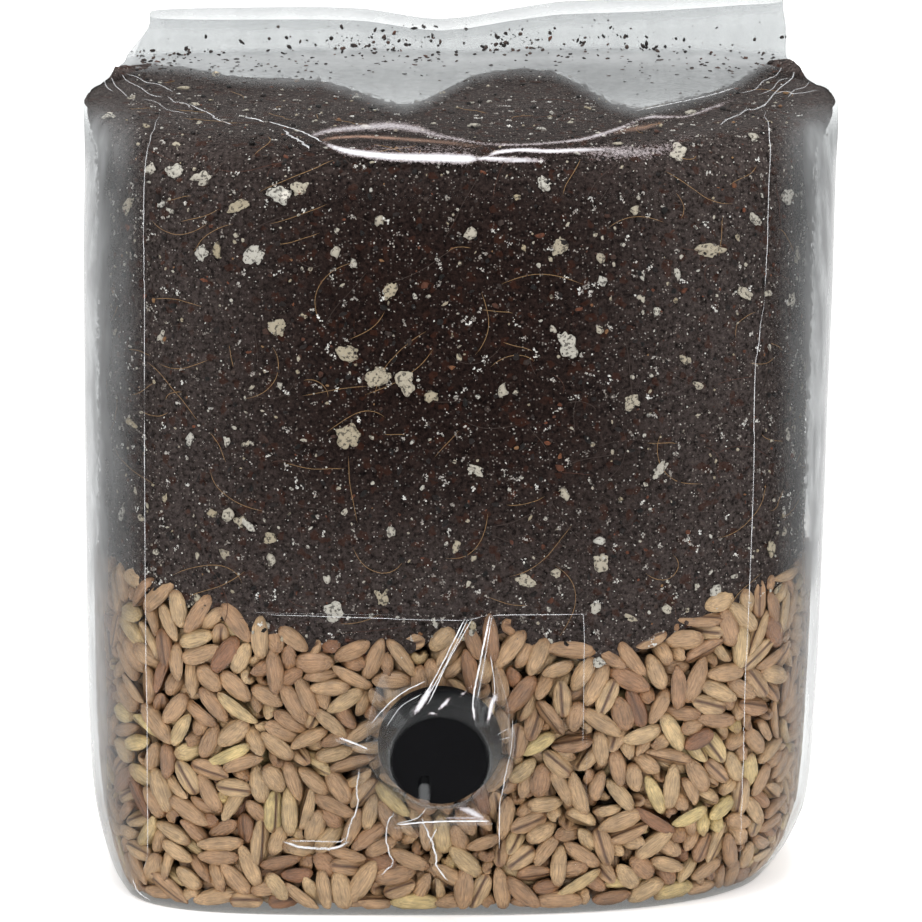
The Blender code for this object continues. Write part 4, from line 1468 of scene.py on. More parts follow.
def smooth_line(places: tuple, step: float) -> np.ndarray:
    """A smooth line through places, read at even steps of its length.

    Args:
        places: The places, each a tuple.
        step: The length of a step.

    Returns:
        One place a row.
    """
    knots = np.array(places, dtype=float)
    travel = np.concatenate([[0.0], np.cumsum(np.linalg.norm(np.diff(knots, axis=0), axis=1))])
    count = max(int(travel[-1] / step), 3) + 1
    return monotone_curve(travel, knots, np.linspace(0, travel[-1], count))


def stroke_field(seen: np.ndarray, places: tuple, width: float) -> np.ndarray:
    """How strongly each place lies on a soft line: exp of minus (distance over width) squared.

    Args:
        seen: The (x, h) places to look at.
        places: The line's places. A third value, where there is one, is its strength there, and a
            fourth is its half width there, as a share of the width.
        width: The line's half width.

    Returns:
        One value a place.
    """
    line = smooth_line(places, 0.25)
    strength = line[:, 2] if line.shape[1] > 2 else np.ones(len(line))
    width = width * (line[:, 3] if line.shape[1] > 3 else np.ones(len(line)))
    flat = seen.reshape(-1, 2)
    result = np.zeros(len(flat))
    reach = 3 * width.max()
    low, high = line[:, :2].min(axis=0) - reach, line[:, :2].max(axis=0) + reach
    near = np.flatnonzero(np.all((flat > low) & (flat < high), axis=1))
    gaps = np.sum((flat[near, None] - line[None, :, :2]) ** 2, axis=2)
    best = gaps.argmin(axis=1)
    closest = np.take_along_axis(gaps, best[:, None], axis=1)[:, 0]
    result[near] = np.exp(-closest / width[best] ** 2) * strength[best]
    return result.reshape(seen.shape[:-1])


def bead_mesh(centres: np.ndarray, normals: np.ndarray, widths: np.ndarray, height: float) -> tuple:
    """A low closed bead along a line: six points round each place, drawn in to a tip at both ends.

    Args:
        centres: The line's points.
        normals: The surface's normals there.
        widths: The bead's width at each point.
        height: Its height off the surface.

    Returns:
        Points, quads and triangles.
    """
    count = len(centres)
    tangents = unit(np.gradient(centres, axis=0))
    sides = unit(np.cross(tangents, normals))
    turn = 2 * math.pi * np.arange(6) / 6
    wide = (widths / 2)[:, None, None] * np.cos(turn)[None, :, None] * sides[:, None]
    taper = (widths / widths.max())[:, None, None]
    tall = taper * height / 2 * np.sin(turn)[None, :, None] * normals[:, None]
    rings = centres[:, None] + wide + tall + normals[:, None] * height / 2
    tips = centres[[0, -1]] + normals[[0, -1]] * height / 2
    points = np.concatenate([rings.reshape(-1, 3), tips])
    return points, tube_faces(count, 6)[:, ::-1], end_fans(count, 6)


def join_meshes(parts: list) -> tuple:
    """Joins meshes of points, quads and triangles.

    Args:
        parts: One (points, quads, triangles) a mesh.

    Returns:
        All points, all quads and all triangles.
    """
    starts = np.cumsum([0] + [len(part[0]) for part in parts[:-1]])
    points = np.concatenate([part[0] for part in parts])
    quads = np.concatenate([part[1] + start for part, start in zip(parts, starts)])
    triangles = np.concatenate([part[2] + start for part, start in zip(parts, starts)])
    return points, quads, triangles


@dataclass(frozen=True)
class CreaseMaterial(Finish):
    """Stress whitening in clear polypropylene: a sharp crease, milky and glossy, its white partly a painted
    highlight.
    """

    name: str = "film_crease_white_and_painted_highlight"
    colour: str = "#E9EAEC"

    def lay(self, tree: bpy.types.NodeTree) -> bpy.types.Node:
        """Lays the nodes.

        Args:
            tree: The material's node tree.

        Returns:
            The shader.
        """
        strength = add_node(tree, "Attribute", attribute_name="strength").outputs["Fac"]
        place = add_node(tree, "TexCoord").outputs["Object"]
        # the crease's white and its painted highlight come and go along the crease
        breaks = add_node(tree, "TexNoise", {"Vector": place, "Scale": 700.0, "Detail": 3.0})
        share = add_node(tree, "MapRange", {"Value": breaks, 1: 0.35, 2: 0.65, 3: 0.45, 4: 1.25})
        opaque = add_node(tree, "Math", {0: strength, 1: share}, operation="MULTIPLY")
        clear = add_node(tree, "BsdfTransparent", {"Color": (1.0, 1.0, 1.0, 1.0)})
        white = add_node(tree, "BsdfDiffuse", {"Color": linear(self.colour)})
        shine = add_node(tree, "BsdfGlossy", {"Roughness": 0.2, "Color": (1.0, 1.0, 1.0, 1.0)})
        milk = add_node(tree, "MixShader", {"Fac": 0.3, 1: white, 2: shine})
        shown = add_node(tree, "MixShader", {"Fac": opaque, 1: clear, 2: milk})
        return shown


@dataclass
class FilmCreases:
    """Fine sharp creases in film or tape, each a low bead that follows its surface.

    Each line is its (x, h) places in the front view, its width in millimetres and its strength.
    """

    skin: Skin
    name: str = "film_creases"
    slot: Slot = Slot.FILM
    lines: tuple = (
        (((-47.4, 55.0), (-48.7, 51.3), (-49.6, 47.4), (-49.9, 41.1), (-49.8, 9.6)), 0.14, 0.36),
        (((-49.8, 9.6), (-49.6, -21.9), (-49.3, -61.3), (-50.2, -65.4)), 0.14, 0.34),
        (((47.7, 55.3), (48.3, 52.4), (48.7, 49.0), (48.5, 44.3), (47.9, 26.9)), 0.15, 0.4),
        (((47.9, 26.9), (46.3, 12.8), (46.1, 0.0), (44.7, -37.6), (43.9, -62.8)), 0.14, 0.34),
        (((27.6, 55.1), (33.1, 56.2), (39.1, 57.5), (43.1, 58.7)), 0.3, 0.5),
        (((-33.9, 54.0), (-32.9, 53.9), (-31.9, 53.7), (-31.1, 53.3)), 0.4, 0.7),
        (((-30.3, 53.4), (-27.9, 52.7), (-25.9, 52.1), (-23.5, 51.1), (-21.9, 50.1)), 0.3, 0.55),
        (((-27.9, 52.1), (-26.9, 51.1), (-25.5, 50.5), (-23.8, 49.1)), 0.45, 0.4),
        (((-42.7, 56.1), (-41.1, 55.3), (-39.8, 54.8), (-38.3, 53.7), (-35.9, 52.9)), 0.35, 0.34),
        (((-53.6, 61.2), (-52.8, 60.0), (-50.4, 58.7), (-49.0, 57.7), (-46.8, 57.1)), 0.2, 0.32),
        (((-46.2, 57.4), (-44.9, 56.4), (-43.6, 56.3), (-42.2, 55.3)), 0.26, 0.26),
        (((-52.8, 60.9), (-51.0, 60.4), (-49.6, 59.6), (-47.9, 59.3), (-45.1, 58.0)), 0.22, 0.34),
        (((-56.2, 60.2), (-55.9, 59.0), (-54.8, 58.1)), 0.2, 0.3),
        (((-55.2, 60.6), (-54.3, 58.9), (-53.4, 58.2), (-52.4, 57.1)), 0.2, 0.3),
        (((-50.0, 56.9), (-47.7, 56.3), (-46.5, 55.4), (-43.0, 54.6)), 0.16, 0.2),
        (((52.5, 61.7), (52.3, 60.5), (51.4, 59.6), (50.2, 58.7), (48.9, 57.3), (47.7, 55.7)), 0.25, 0.36),
        (((49.3, 57.7), (51.3, 58.2), (52.4, 57.8), (53.7, 57.9), (56.2, 58.4)), 0.2, 0.3),
        (((40.9, 52.9), (42.0, 53.8), (43.7, 54.4), (44.9, 55.2), (46.5, 55.4), (48.1, 56.2)), 0.45, 0.24),
        (((50.8, 62.3), (49.5, 60.6), (47.6, 59.8), (46.0, 58.3), (43.9, 57.9)), 0.22, 0.26),
        (((51.8, 60.3), (50.2, 59.9), (49.0, 58.5), (47.1, 57.7)), 0.16, 0.3),
        (((55.0, 59.9), (54.1, 58.8), (52.6, 58.4), (51.5, 57.2)), 0.18, 0.26),
        (((-51.7, -65.7), (-50.9, -67.6), (-49.0, -69.1)), 0.3, 0.5),
        (((54.3, -53.4), (52.8, -58.1), (49.4, -62.0), (45.8, -65.2)), 0.25, 0.45),
        (((-28.0, -60.0), (-24.3, -60.9), (-20.9, -61.1), (-17.5, -60.0)), 0.4, 0.5),
        (((-26.9, -59.8), (-23.5, -59.8), (-19.8, -60.0), (-17.5, -59.1)), 0.2, 0.4),
        (((-16.1, -48.3), (-16.5, -52.4), (-16.1, -53.5), (-16.9, -55.9), (-18.4, -60.3)), 0.25, 0.5),
        (((-6.3, -56.1), (-4.7, -59.8), (-3.8, -62.5), (-2.7, -66.0)), 0.3, 0.55),
        (((-10.6, -55.3), (-11.8, -58.1), (-11.5, -61.1), (-10.7, -63.1), (-12.6, -65.2)), 0.25, 0.5),
    )
    step: float = 0.5
    height: float = 0.12

    def build(self) -> bpy.types.Object:
        """Makes all creases as one piece.

        Returns:
            The piece.
        """
        parts, strengths = [], []
        for places, width, strength in self.lines:
            line = smooth_line(places, self.step)
            centres, normals = self.skin.at(line)
            share = np.linspace(0, 1, len(line))
            widths = width * np.clip(np.minimum(share, 1 - share) * 12, 0.08, 1)
            part = bead_mesh(centres, normals, widths, self.height)
            parts.append(part)
            strengths.append(np.full(len(part[0]), strength))
        points, quads, triangles = join_meshes(parts)
        obj = new_piece(
            self.name, points, [quads, triangles], CreaseMaterial(name=f"whitening_and_painted_highlight_{self.name}").build()
        )
        set_attribute(obj, "strength", np.concatenate(strengths))
        dress(obj, self.slot)
        return obj


def ball_template(detail: int) -> tuple:
    """A ball of radius 1 from bmesh's icosphere, or a bead of eight faces.

    Args:
        detail: How often its faces are split. With 0, it is the bead.

    Returns:
        Points and triangles.
    """
    if detail == 0:
        points = np.array([[1, 0, 0], [0, 1, 0], [-1, 0, 0], [0, -1, 0], [0, 0, 1], [0, 0, -1]], dtype=float)
        around = np.arange(4)
        ahead = (around + 1) % 4
        upper = np.stack([around, ahead, np.full(4, 4)], axis=1)
        lower = np.stack([ahead, around, np.full(4, 5)], axis=1)
        return points, np.concatenate([upper, lower])
    work = bmesh.new()
    bmesh.ops.create_icosphere(work, subdivisions=detail, radius=1.0)
    points = np.array([vertex.co for vertex in work.verts])
    triangles = np.array([[vertex.index for vertex in face.verts] for face in work.faces])
    work.free()
    return points, triangles


@dataclass
class Scatter:
    """Many small lumps set on a surface, each turned, squashed and dented in its own way."""

    name: str
    slot: Slot
    detail: int
    roughness: float
    flatness: float
    seed: int
    dent_pitch: float = 0.8
    nick_pitch: float = 0.33

    def build(
        self,
        places: np.ndarray,
        normals: np.ndarray,
        sizes: np.ndarray,
        tones: np.ndarray,
        material: bpy.types.Material,
    ) -> bpy.types.Object:
        """Makes the lumps as one joined mesh.

        A lump is a ball, dented by noise of its radius, turned at random about the normal, stretched,
        and flattened along the normal.

        Args:
            places: Where the lumps' middles lie.
            normals: The surface's normals there.
            sizes: Their radii in millimetres.
            tones: A number from 0 to 1 a lump, for the material.
            material: The material.

        Returns:
            The piece.
        """
        draw = np.random.default_rng(self.seed)
        ball, triangles = ball_template(self.detail)
        count = len(places)
        relief = []
        for pitch in (self.dent_pitch, self.nick_pitch):
            moved = ball[None] + draw.uniform(0, 90, (count, 1, 3))
            relief.append(lattice_noise(moved.reshape(-1, 3), pitch, self.seed))
        dents, nicks = relief
        radius = 1 + self.roughness * (dents + 0.45 * nicks).reshape(count, -1)
        spin = unit(np.cross(normals, unit(draw.normal(size=(count, 3)))))
        third = np.cross(normals, spin)
        stretch = draw.uniform(0.65, 1.35, (count, 1))
        local = ball[None] * radius[..., None]
        across = local[..., 0, None] * (spin * stretch)[:, None]
        across = across + local[..., 1, None] * (third / stretch)[:, None]
        shaped = across + local[..., 2, None] * (normals * self.flatness)[:, None]
        points = (places[:, None] + shaped * sizes[:, None, None]).reshape(-1, 3)
        faces = (triangles[None] + (np.arange(count) * len(ball))[:, None, None]).reshape(-1, 3)
        obj = new_piece(self.name, points, [faces], material)
        set_attribute(obj, "tone", np.repeat(tones, len(ball)))
        dress(obj, self.slot)
        return obj


@dataclass(frozen=True)
class CrumbMaterial(Finish):
    """Coir crumb: dark brown to rusty bits of husk, matt, from each bit's tone."""

    name: str = "coir_husk_crumb"
    stops: tuple = (
        (0.0, "#080504"),
        (0.5, "#1E1411"),
        (0.8, "#40322C"),
        (0.88, "#41261B"),
        (0.97, "#6E3D26"),
        (1.0, "#94744F"),
    )
    roughness: float = 0.8

    def lay(self, tree: bpy.types.NodeTree) -> bpy.types.Node:
        """Lays the nodes.

        Args:
            tree: The material's node tree.

        Returns:
            The shader.
        """
        tone = add_node(tree, "Attribute", attribute_name="tone").outputs["Fac"]
        place = add_node(tree, "TexCoord").outputs["Object"]
        ramp = add_node(tree, "ValToRGB", {"Fac": tone})
        set_stops(ramp, self.stops)
        mottle = add_node(tree, "TexNoise", {"Vector": place, "Scale": 3000.0, "Detail": 3.0})
        vary = add_node(tree, "MapRange", {"Value": mottle, 1: 0.3, 2: 0.7, 3: 0.6, 4: 1.3})
        coloured = add_node(
            tree, "Mix", {"Factor": 1.0, 6: ramp, 7: vary}, data_type="RGBA", blend_type="MULTIPLY"
        )
        bump = add_node(tree, "Bump", {"Height": mottle, "Strength": 0.6, "Distance": 0.1 * MM})
        shader = add_node(
            tree, "BsdfPrincipled", {"Base Color": coloured, "Roughness": self.roughness, "Normal": bump}
        )
        return shader


@dataclass(frozen=True)
class FlakeMaterial(Finish):
    """Expanded vermiculite and perlite: cream to white flakes with dark pits, matt."""

    name: str = "expanded_vermiculite_flake"
    cream: str = "#A3957B"
    white: str = "#BEBAB2"
    pit: str = "#231A16"
    pit_share: float = 0.475

    def lay(self, tree: bpy.types.NodeTree) -> bpy.types.Node:
        """Lays the nodes.

        Args:
            tree: The material's node tree.

        Returns:
            The shader.
        """
        tone = add_node(tree, "Attribute", attribute_name="tone").outputs["Fac"]
        place = add_node(tree, "TexCoord").outputs["Object"]
        body = add_node(
            tree, "Mix", {"Factor": tone, 6: linear(self.cream), 7: linear(self.white)}, data_type="RGBA"
        )
        cells = add_node(tree, "TexNoise", {"Vector": place, "Scale": 2000.0, "Detail": 3.0})
        edge = self.pit_share
        pits = add_node(tree, "MapRange", {"Value": cells, 1: edge - 0.08, 2: edge, 3: 0.8, 4: 0.0})
        coloured = add_node(tree, "Mix", {"Factor": pits, 6: body, 7: linear(self.pit)}, data_type="RGBA")
        bump = add_node(tree, "Bump", {"Height": cells, "Strength": 0.8, "Distance": 0.3 * MM})
        shader = add_node(tree, "BsdfPrincipled", {"Base Color": coloured, "Roughness": 0.75, "Normal": bump})
        return shader


@dataclass
class SubstrateDetail:
    """What the block's surface carries: crumb, flakes, white specks and coir fibres."""

    shape: BagShape
    view: FrontView
    points: np.ndarray
    normals: np.ndarray
    heroes: tuple = (
        (-17.5, 16.7, 1.5), (-12.8, 13.5, 1.4), (-8.8, 12.3, 1.4), (-18.3, 3.8, 1.8), (-28.8, 21.1, 1.2),
        (16.4, 18.3, 1.5), (-34.8, 40.3, 1.1), (-40.8, 32.6, 1.1), (-40.8, 44.3, 1.3), (-45.0, 45.8, 0.9),
        (-48.7, 45.8, 0.8), (-55.3, 54.0, 1.1), (51.0, 41.6, 1.1), (46.3, 38.0, 0.9), (38.9, 33.2, 1.3),
        (44.4, 26.5, 0.9), (51.8, 25.4, 1.1), (34.5, 48.2, 1.3), (-52.0, 40.3, 1.3), (-25.4, 42.7, 1.1),
        (-28.5, 41.9, 1.3), (-32.4, 32.4, 1.4), (-19.8, -23.5, 1.4), (-12.3, -21.6, 1.4), (-38.7, -7.7, 1.4),
        (15.6, 34.0, 1.1), (-11.2, 26.9, 1.1), (31.3, -1.4, 1.1), (10.1, -18.7, 1.1), (21.9, -15.6, 1.1),
        (26.9, 9.6, 1.1), (48.7, -14.0, 1.1), (52.6, 32.4, 1.1), (2.2, -1.4, 0.9), (13.2, 43.5, 1.1),
    )
    crumbs: int = 7000
    flakes: int = 260
    grit: int = 1000
    specks: int = 12500
    clusters: int = 950
    cluster_size: int = 10
    fibres: int = 420
    fibre_steps: int = 16
    fibre_lift: float = 0.35
    fibre_width: float = 0.1
    fibre_height: float = 0.09
    back_share: float = 0.4
    pale: tuple = (
        (0.0, "#4A4039"), (0.35, "#756A62"), (0.65, "#A8A19A"), (0.88, "#D2CDC6"), (1.0, "#F0EEEA")
    )
    seed: int = 12

    def chosen(self, draw: np.random.Generator, count: int) -> tuple:
        """Random places on the surface, as likely anywhere, and their normals."""
        points = self.points
        around = np.linalg.norm(np.roll(points, -1, axis=1) - points, axis=2)
        onward = np.linalg.norm(np.gradient(points, axis=0), axis=2)
        area = (around * onward * np.where(points[..., 1] > 10, self.back_share, 1.0)).ravel()
        index = draw.choice(area.size, count, p=area / area.sum())
        places = points.reshape(-1, 3)[index] + draw.uniform(-0.35, 0.35, (count, 3))
        high = places[:, 2] > 118
        kept = (np.abs(places[:, 0]) < 52) | ~high
        kept &= ~high | (draw.random(count) < 0.45)
        room, _ = self.shape.inside(places)
        kept &= high | (room > 0.45)
        return places[kept], self.normals.reshape(-1, 3)[index[kept]]

    def build(self) -> None:
        """Makes the crumb, flakes, grit, specks and fibres."""
        draw = np.random.default_rng(self.seed)
        crumb = CrumbMaterial().build()
        flake = FlakeMaterial().build()
        places, normals = self.chosen(draw, self.crumbs)
        sizes = 0.16 + 0.42 * draw.random(len(places)) ** 3
        tones = draw.random(len(places))
        scatter = Scatter("coir_crumbs", Slot.SUBSTRATE, detail=1, roughness=0.45, flatness=0.6, seed=31)
        scatter.build(places, normals, sizes, tones, crumb)
        skin = Skin.of(self.view, self.points, self.normals)
        spots = np.array(self.heroes)
        places, normals = skin.at(spots[:, :2])
        places = places + normals * 0.25
        tones = draw.uniform(0.1, 0.9, len(spots))
        scatter = Scatter("large_flakes", Slot.SUBSTRATE, detail=4, roughness=0.8, flatness=0.34, seed=32)
        scatter.build(places, normals, 0.9 * spots[:, 2], tones, flake)
        places, normals = self.chosen(draw, self.flakes)
        sizes = 0.4 + 0.5 * draw.random(len(places)) ** 1.5
        tones = draw.random(len(places))
        places = places + normals * 0.2
        scatter = Scatter("small_flakes", Slot.SUBSTRATE, detail=2, roughness=0.8, flatness=0.4, seed=33)
        scatter.build(places, normals, sizes, tones, flake)
        places, normals = self.chosen(draw, self.grit)
        places = places + normals * 0.2
        sizes = draw.uniform(0.16, 0.4, len(places))
        scatter = Scatter("vermiculite_grit", Slot.SUBSTRATE, detail=1, roughness=0.5, flatness=0.6, seed=34)
        scatter.build(places, normals, sizes, draw.random(len(places)), flake)
        self.build_specks(draw)
        self.build_fibres(draw, crumb)

    def build_specks(self, draw: np.random.Generator) -> bpy.types.Object:
        """Makes the pale specks: single ones, and chains that walk at random from a cluster's place."""
        places, normals = self.chosen(draw, self.specks)
        sizes = 0.07 + 0.12 * draw.random(len(places)) ** 2
        tones = draw.random(len(places))
        middles, ways = self.chosen(draw, self.clusters)
        steps = draw.normal(0, 0.2, (len(middles), self.cluster_size, 3)).cumsum(axis=1)
        steps -= ways[:, None] * np.sum(steps * ways[:, None], axis=2, keepdims=True)
        chains = (middles[:, None] + steps).reshape(-1, 3)
        bright = np.repeat(draw.uniform(0.45, 1.0, len(middles)), self.cluster_size)
        places = np.concatenate([places, chains])
        normals = np.concatenate([normals, np.repeat(ways, self.cluster_size, axis=0)])
        sizes = np.concatenate([sizes, draw.uniform(0.07, 0.2, len(chains))])
        tones = np.concatenate([tones, np.clip(bright + draw.normal(0, 0.1, len(chains)), 0, 1)])
        white = CrumbMaterial(name="pale_mineral_specks", stops=self.pale)
        scatter = Scatter("pale_specks", Slot.SUBSTRATE, detail=0, roughness=0.35, flatness=0.8, seed=35)
        return scatter.build(places + normals * 0.38, normals, sizes, tones, white.build())

    def build_fibres(self, draw: np.random.Generator, material: bpy.types.Material) -> bpy.types.Object:
        """Makes curled fibres: each walks over the surface, and its heading drifts at random."""
        centres, normals = self.chosen(draw, self.fibres)
        count = len(centres)
        flat, ups = self.points.reshape(-1, 3), self.normals.reshape(-1, 3)
        heading = unit(np.cross(normals, draw.normal(size=(count, 3)) * (0.5, 0.5, 1.3)))
        bend = draw.normal(0, 0.04, count)
        length = draw.uniform(3.0, 14.0, count)
        steps = self.fibre_steps
        path = []
        where = centres + normals * self.fibre_lift
        for _ in range(steps):
            path.append(where)
            side = np.cross(normals, heading)
            heading = unit(heading + side * bend[:, None])
            heading = unit(heading - normals * np.sum(heading * normals, axis=1, keepdims=True))
            where = where + heading * (length / steps)[:, None]
            bend = bend + draw.normal(0, 0.025, count)
            gaps = np.sum((flat[None, ::7] - where[:, None]) ** 2, axis=2).argmin(axis=1)
            near, normals = flat[::7][gaps], ups[::7][gaps]
            off = np.sum((where - near) * normals, axis=1, keepdims=True)
            where = where + normals * (self.fibre_lift - off) * 0.7
        path = np.stack(path, axis=1)
        ways = unit(np.gradient(path, axis=1))
        parts, tones = [], []
        shades = draw.choice([0.8, 0.9, 1.0], count, p=[0.4, 0.15, 0.45])
        for line, way, shade in zip(path, ways, shades):
            across = unit(np.cross(way, np.array([0.3, 0.5, 0.8])))
            share = np.linspace(0, 1, steps)
            widths = self.fibre_width * np.clip(np.minimum(share, 1 - share) * 8, 0.2, 1)
            part = bead_mesh(line, unit(np.cross(across, way)), widths, self.fibre_height)
            parts.append(part)
            tones.append(np.full(len(part[0]), shade))
        points, quads, triangles = join_meshes(parts)
        obj = new_piece("coir_fibres", points, [quads, triangles], material)
        set_attribute(obj, "tone", np.concatenate(tones))
        dress(obj, Slot.SUBSTRATE)
        return obj


@dataclass
class NeckCrumbs:
    """Loose dark crumbs that cling to the film of the neck and top."""

    skin: Skin
    loose: int = 440
    clusters: tuple = (
        (-50.5, 62.6, 2.0, 140), (49.6, 61.8, 1.9, 110), (-44.0, 62.6, 3.0, 90), (-36.0, 61.6, 4.6, 90),
        (-27.0, 61.4, 4.2, 60), (43.0, 62.0, 3.2, 60), (34.0, 60.0, 4.5, 50), (4.0, 62.4, 6.0, 50),
        (-14.0, 65.0, 5.0, 60), (30.0, 65.5, 6.0, 60), (-6.0, 66.5, 4.0, 30),
    )
    seed: int = 41

    def build(self) -> bpy.types.Object:
        """Makes the crumbs: a band of loose ones, and clusters beside the neck's foot.

        Returns:
            The piece.
        """
        draw = np.random.default_rng(self.seed)
        across = np.concatenate([draw.normal(-6, 14, self.loose // 2), draw.normal(22, 15, self.loose // 2)])
        up = draw.normal(65.2, 1.9, len(across)) - 0.04 * np.abs(across)
        spots = [np.stack([across, up], axis=1)]
        for x, h, spread, count in self.clusters:
            spots.append(draw.normal((x, h), (spread, spread * 0.45), (count, 2)))
        spots = np.concatenate(spots)
        spots = spots[(np.abs(spots[:, 0]) < 52) & (spots[:, 1] < 69.5)]
        nearest = [np.min(np.sum((self.skin.seen - spot) ** 2, axis=1)) for spot in spots]
        spots = spots[np.array(nearest) < 0.5]
        places, normals = self.skin.at(spots)
        places = places - normals * 0.06
        sizes = 0.09 + 0.34 * draw.random(len(spots)) ** 2.4
        tones = draw.random(len(spots)) * 0.9
        scatter = Scatter("neck_crumbs", Slot.SUBSTRATE, detail=1, roughness=0.5, flatness=0.5, seed=42)
        return scatter.build(places, normals, sizes, tones, CrumbMaterial(name="loose_coir_crumb").build())


@dataclass(frozen=True)
class RubberMaterial(Finish):
    """Moulded black rubber, matt, with a fine dusty grain."""

    name: str = "moulded_black_rubber"
    stops: tuple = ((0.0, "#070708"), (1.0, "#0E0E10"))

    def lay(self, tree: bpy.types.NodeTree) -> bpy.types.Node:
        """Lays the nodes.

        Args:
            tree: The material's node tree.

        Returns:
            The shader.
        """
        place = add_node(tree, "TexCoord").outputs["Object"]
        dust = add_node(tree, "TexNoise", {"Vector": place, "Scale": 900.0, "Detail": 5.0})
        ramp = add_node(tree, "ValToRGB", {"Fac": dust})
        set_stops(ramp, self.stops)
        bump = add_node(tree, "Bump", {"Height": dust, "Strength": 0.2, "Distance": 0.08 * MM})
        return add_node(
            tree,
            "BsdfPrincipled",
            {"Base Color": ramp, "Roughness": 0.6, "Specular IOR Level": 0.04, "Normal": bump},
        )


@dataclass
class InjectionPort:
    """The black rubber stopper: a turned flange and plug, with a slot in its face.

    It sits 2.1 mm higher than the solid, which is where the photo shows it.
    """

    shape: BagShape
    height: float = 28.6
    offset: float = -2.6
    flange: float = 9.5
    flange_depth: float = 2.0
    plug: float = 7.5
    plug_depth: float = 5.0
    edge: float = 0.5
    seat: float = 0.3
    slot_half: float = 0.75
    slot_length: float = 4.4
    slot_depth: float = 0.8
    slot_offset: float = -2.4
    dish: float = 0.12
    columns: int = 128

    def axes(self) -> tuple:
        """The foot of the port on the film, and its level, upward and outward directions."""
        foot, normal = self.shape.front(np.array([self.offset]), np.array([self.height]))
        normal = normal[0]
        level = np.array([1.0, 0.0, 0.0])
        up = unit(np.cross(normal, level))
        return foot[0], np.cross(up, normal), up, normal

    def standoff(self) -> float:
        """How far the flange stands off the plane that touches the bulging film."""
        foot, level, up, normal = self.axes()
        turn = 2 * math.pi * np.arange(32) / 32
        rim = foot + self.flange * (np.cos(turn)[:, None] * level + np.sin(turn)[:, None] * up)
        shift = self.shape.shift()
        on_film, _ = self.shape.front(rim[:, 0] - shift[0], rim[:, 2])
        return max(float(((on_film - foot) @ normal).max()), 0.0) + self.seat

    def build(self) -> bpy.types.Object:
        """Makes the stopper from rings of its profile, and presses the slot into the face.

        Returns:
            The piece.
        """
        top = self.flange_depth + self.plug_depth
        face = np.linspace(0.3, self.plug - self.edge, 30)
        bend = np.linspace(0, math.pi / 2, 6)[1:]
        profile = [(radius, top) for radius in face]
        profile += [
            (self.plug - self.edge * (1 - math.sin(t)), top - self.edge * (1 - math.cos(t))) for t in bend
        ]
        profile += [(self.plug, z) for z in np.linspace(top - self.edge, self.flange_depth + 0.25, 8)[1:]]
        profile += [(self.plug + 0.25, self.flange_depth)]
        profile += [
            (radius, self.flange_depth) for radius in np.linspace(self.plug + 0.6, self.flange - self.edge, 4)
        ]
        profile += [
            (self.flange - self.edge * (1 - math.sin(t)), self.flange_depth - self.edge * (1 - math.cos(t)))
            for t in bend
        ]
        profile += [(self.flange, 0.5), (self.flange - 0.15, 0.0), (self.flange - 1.5, 0.0)]
        radii, levels = np.array(profile).T
        turn = 2 * math.pi * np.arange(self.columns) / self.columns
        x = radii[:, None] * np.cos(turn)
        y = radii[:, None] * np.sin(turn)
        z = np.broadcast_to(levels[:, None], x.shape).copy()
        tip = self.slot_length - self.slot_half - math.sqrt(self.plug**2 - self.slot_offset**2)
        beyond = np.maximum(y - tip, 0)
        away = np.hypot(x - self.slot_offset, beyond) - self.slot_half
        pressed = smoothstep(0.12, -0.12, away)
        z -= self.slot_depth * pressed * (z > top - self.edge - 0.01)
        z -= self.dish * np.exp(-((radii[:, None] / 6.0) ** 2)) * (z > top - 0.01)
        foot, level, up, normal = self.axes()
        local = np.stack([x, y, z + self.standoff()], axis=-1)
        ends = np.array([[0, 0, top - self.dish], [0, 0, 0]]) + np.array([0, 0, self.standoff()])
        points = np.concatenate([local.reshape(-1, 3), ends]) @ np.stack([level, up, normal]) + foot
        rows = len(radii)
        faces = [tube_faces(rows, self.columns)[:, ::-1], end_fans(rows, self.columns)]
        obj = new_piece("rubber_stopper", points, faces, RubberMaterial().build())
        dress(obj, Slot.RUBBER, "injection_port")
        return obj


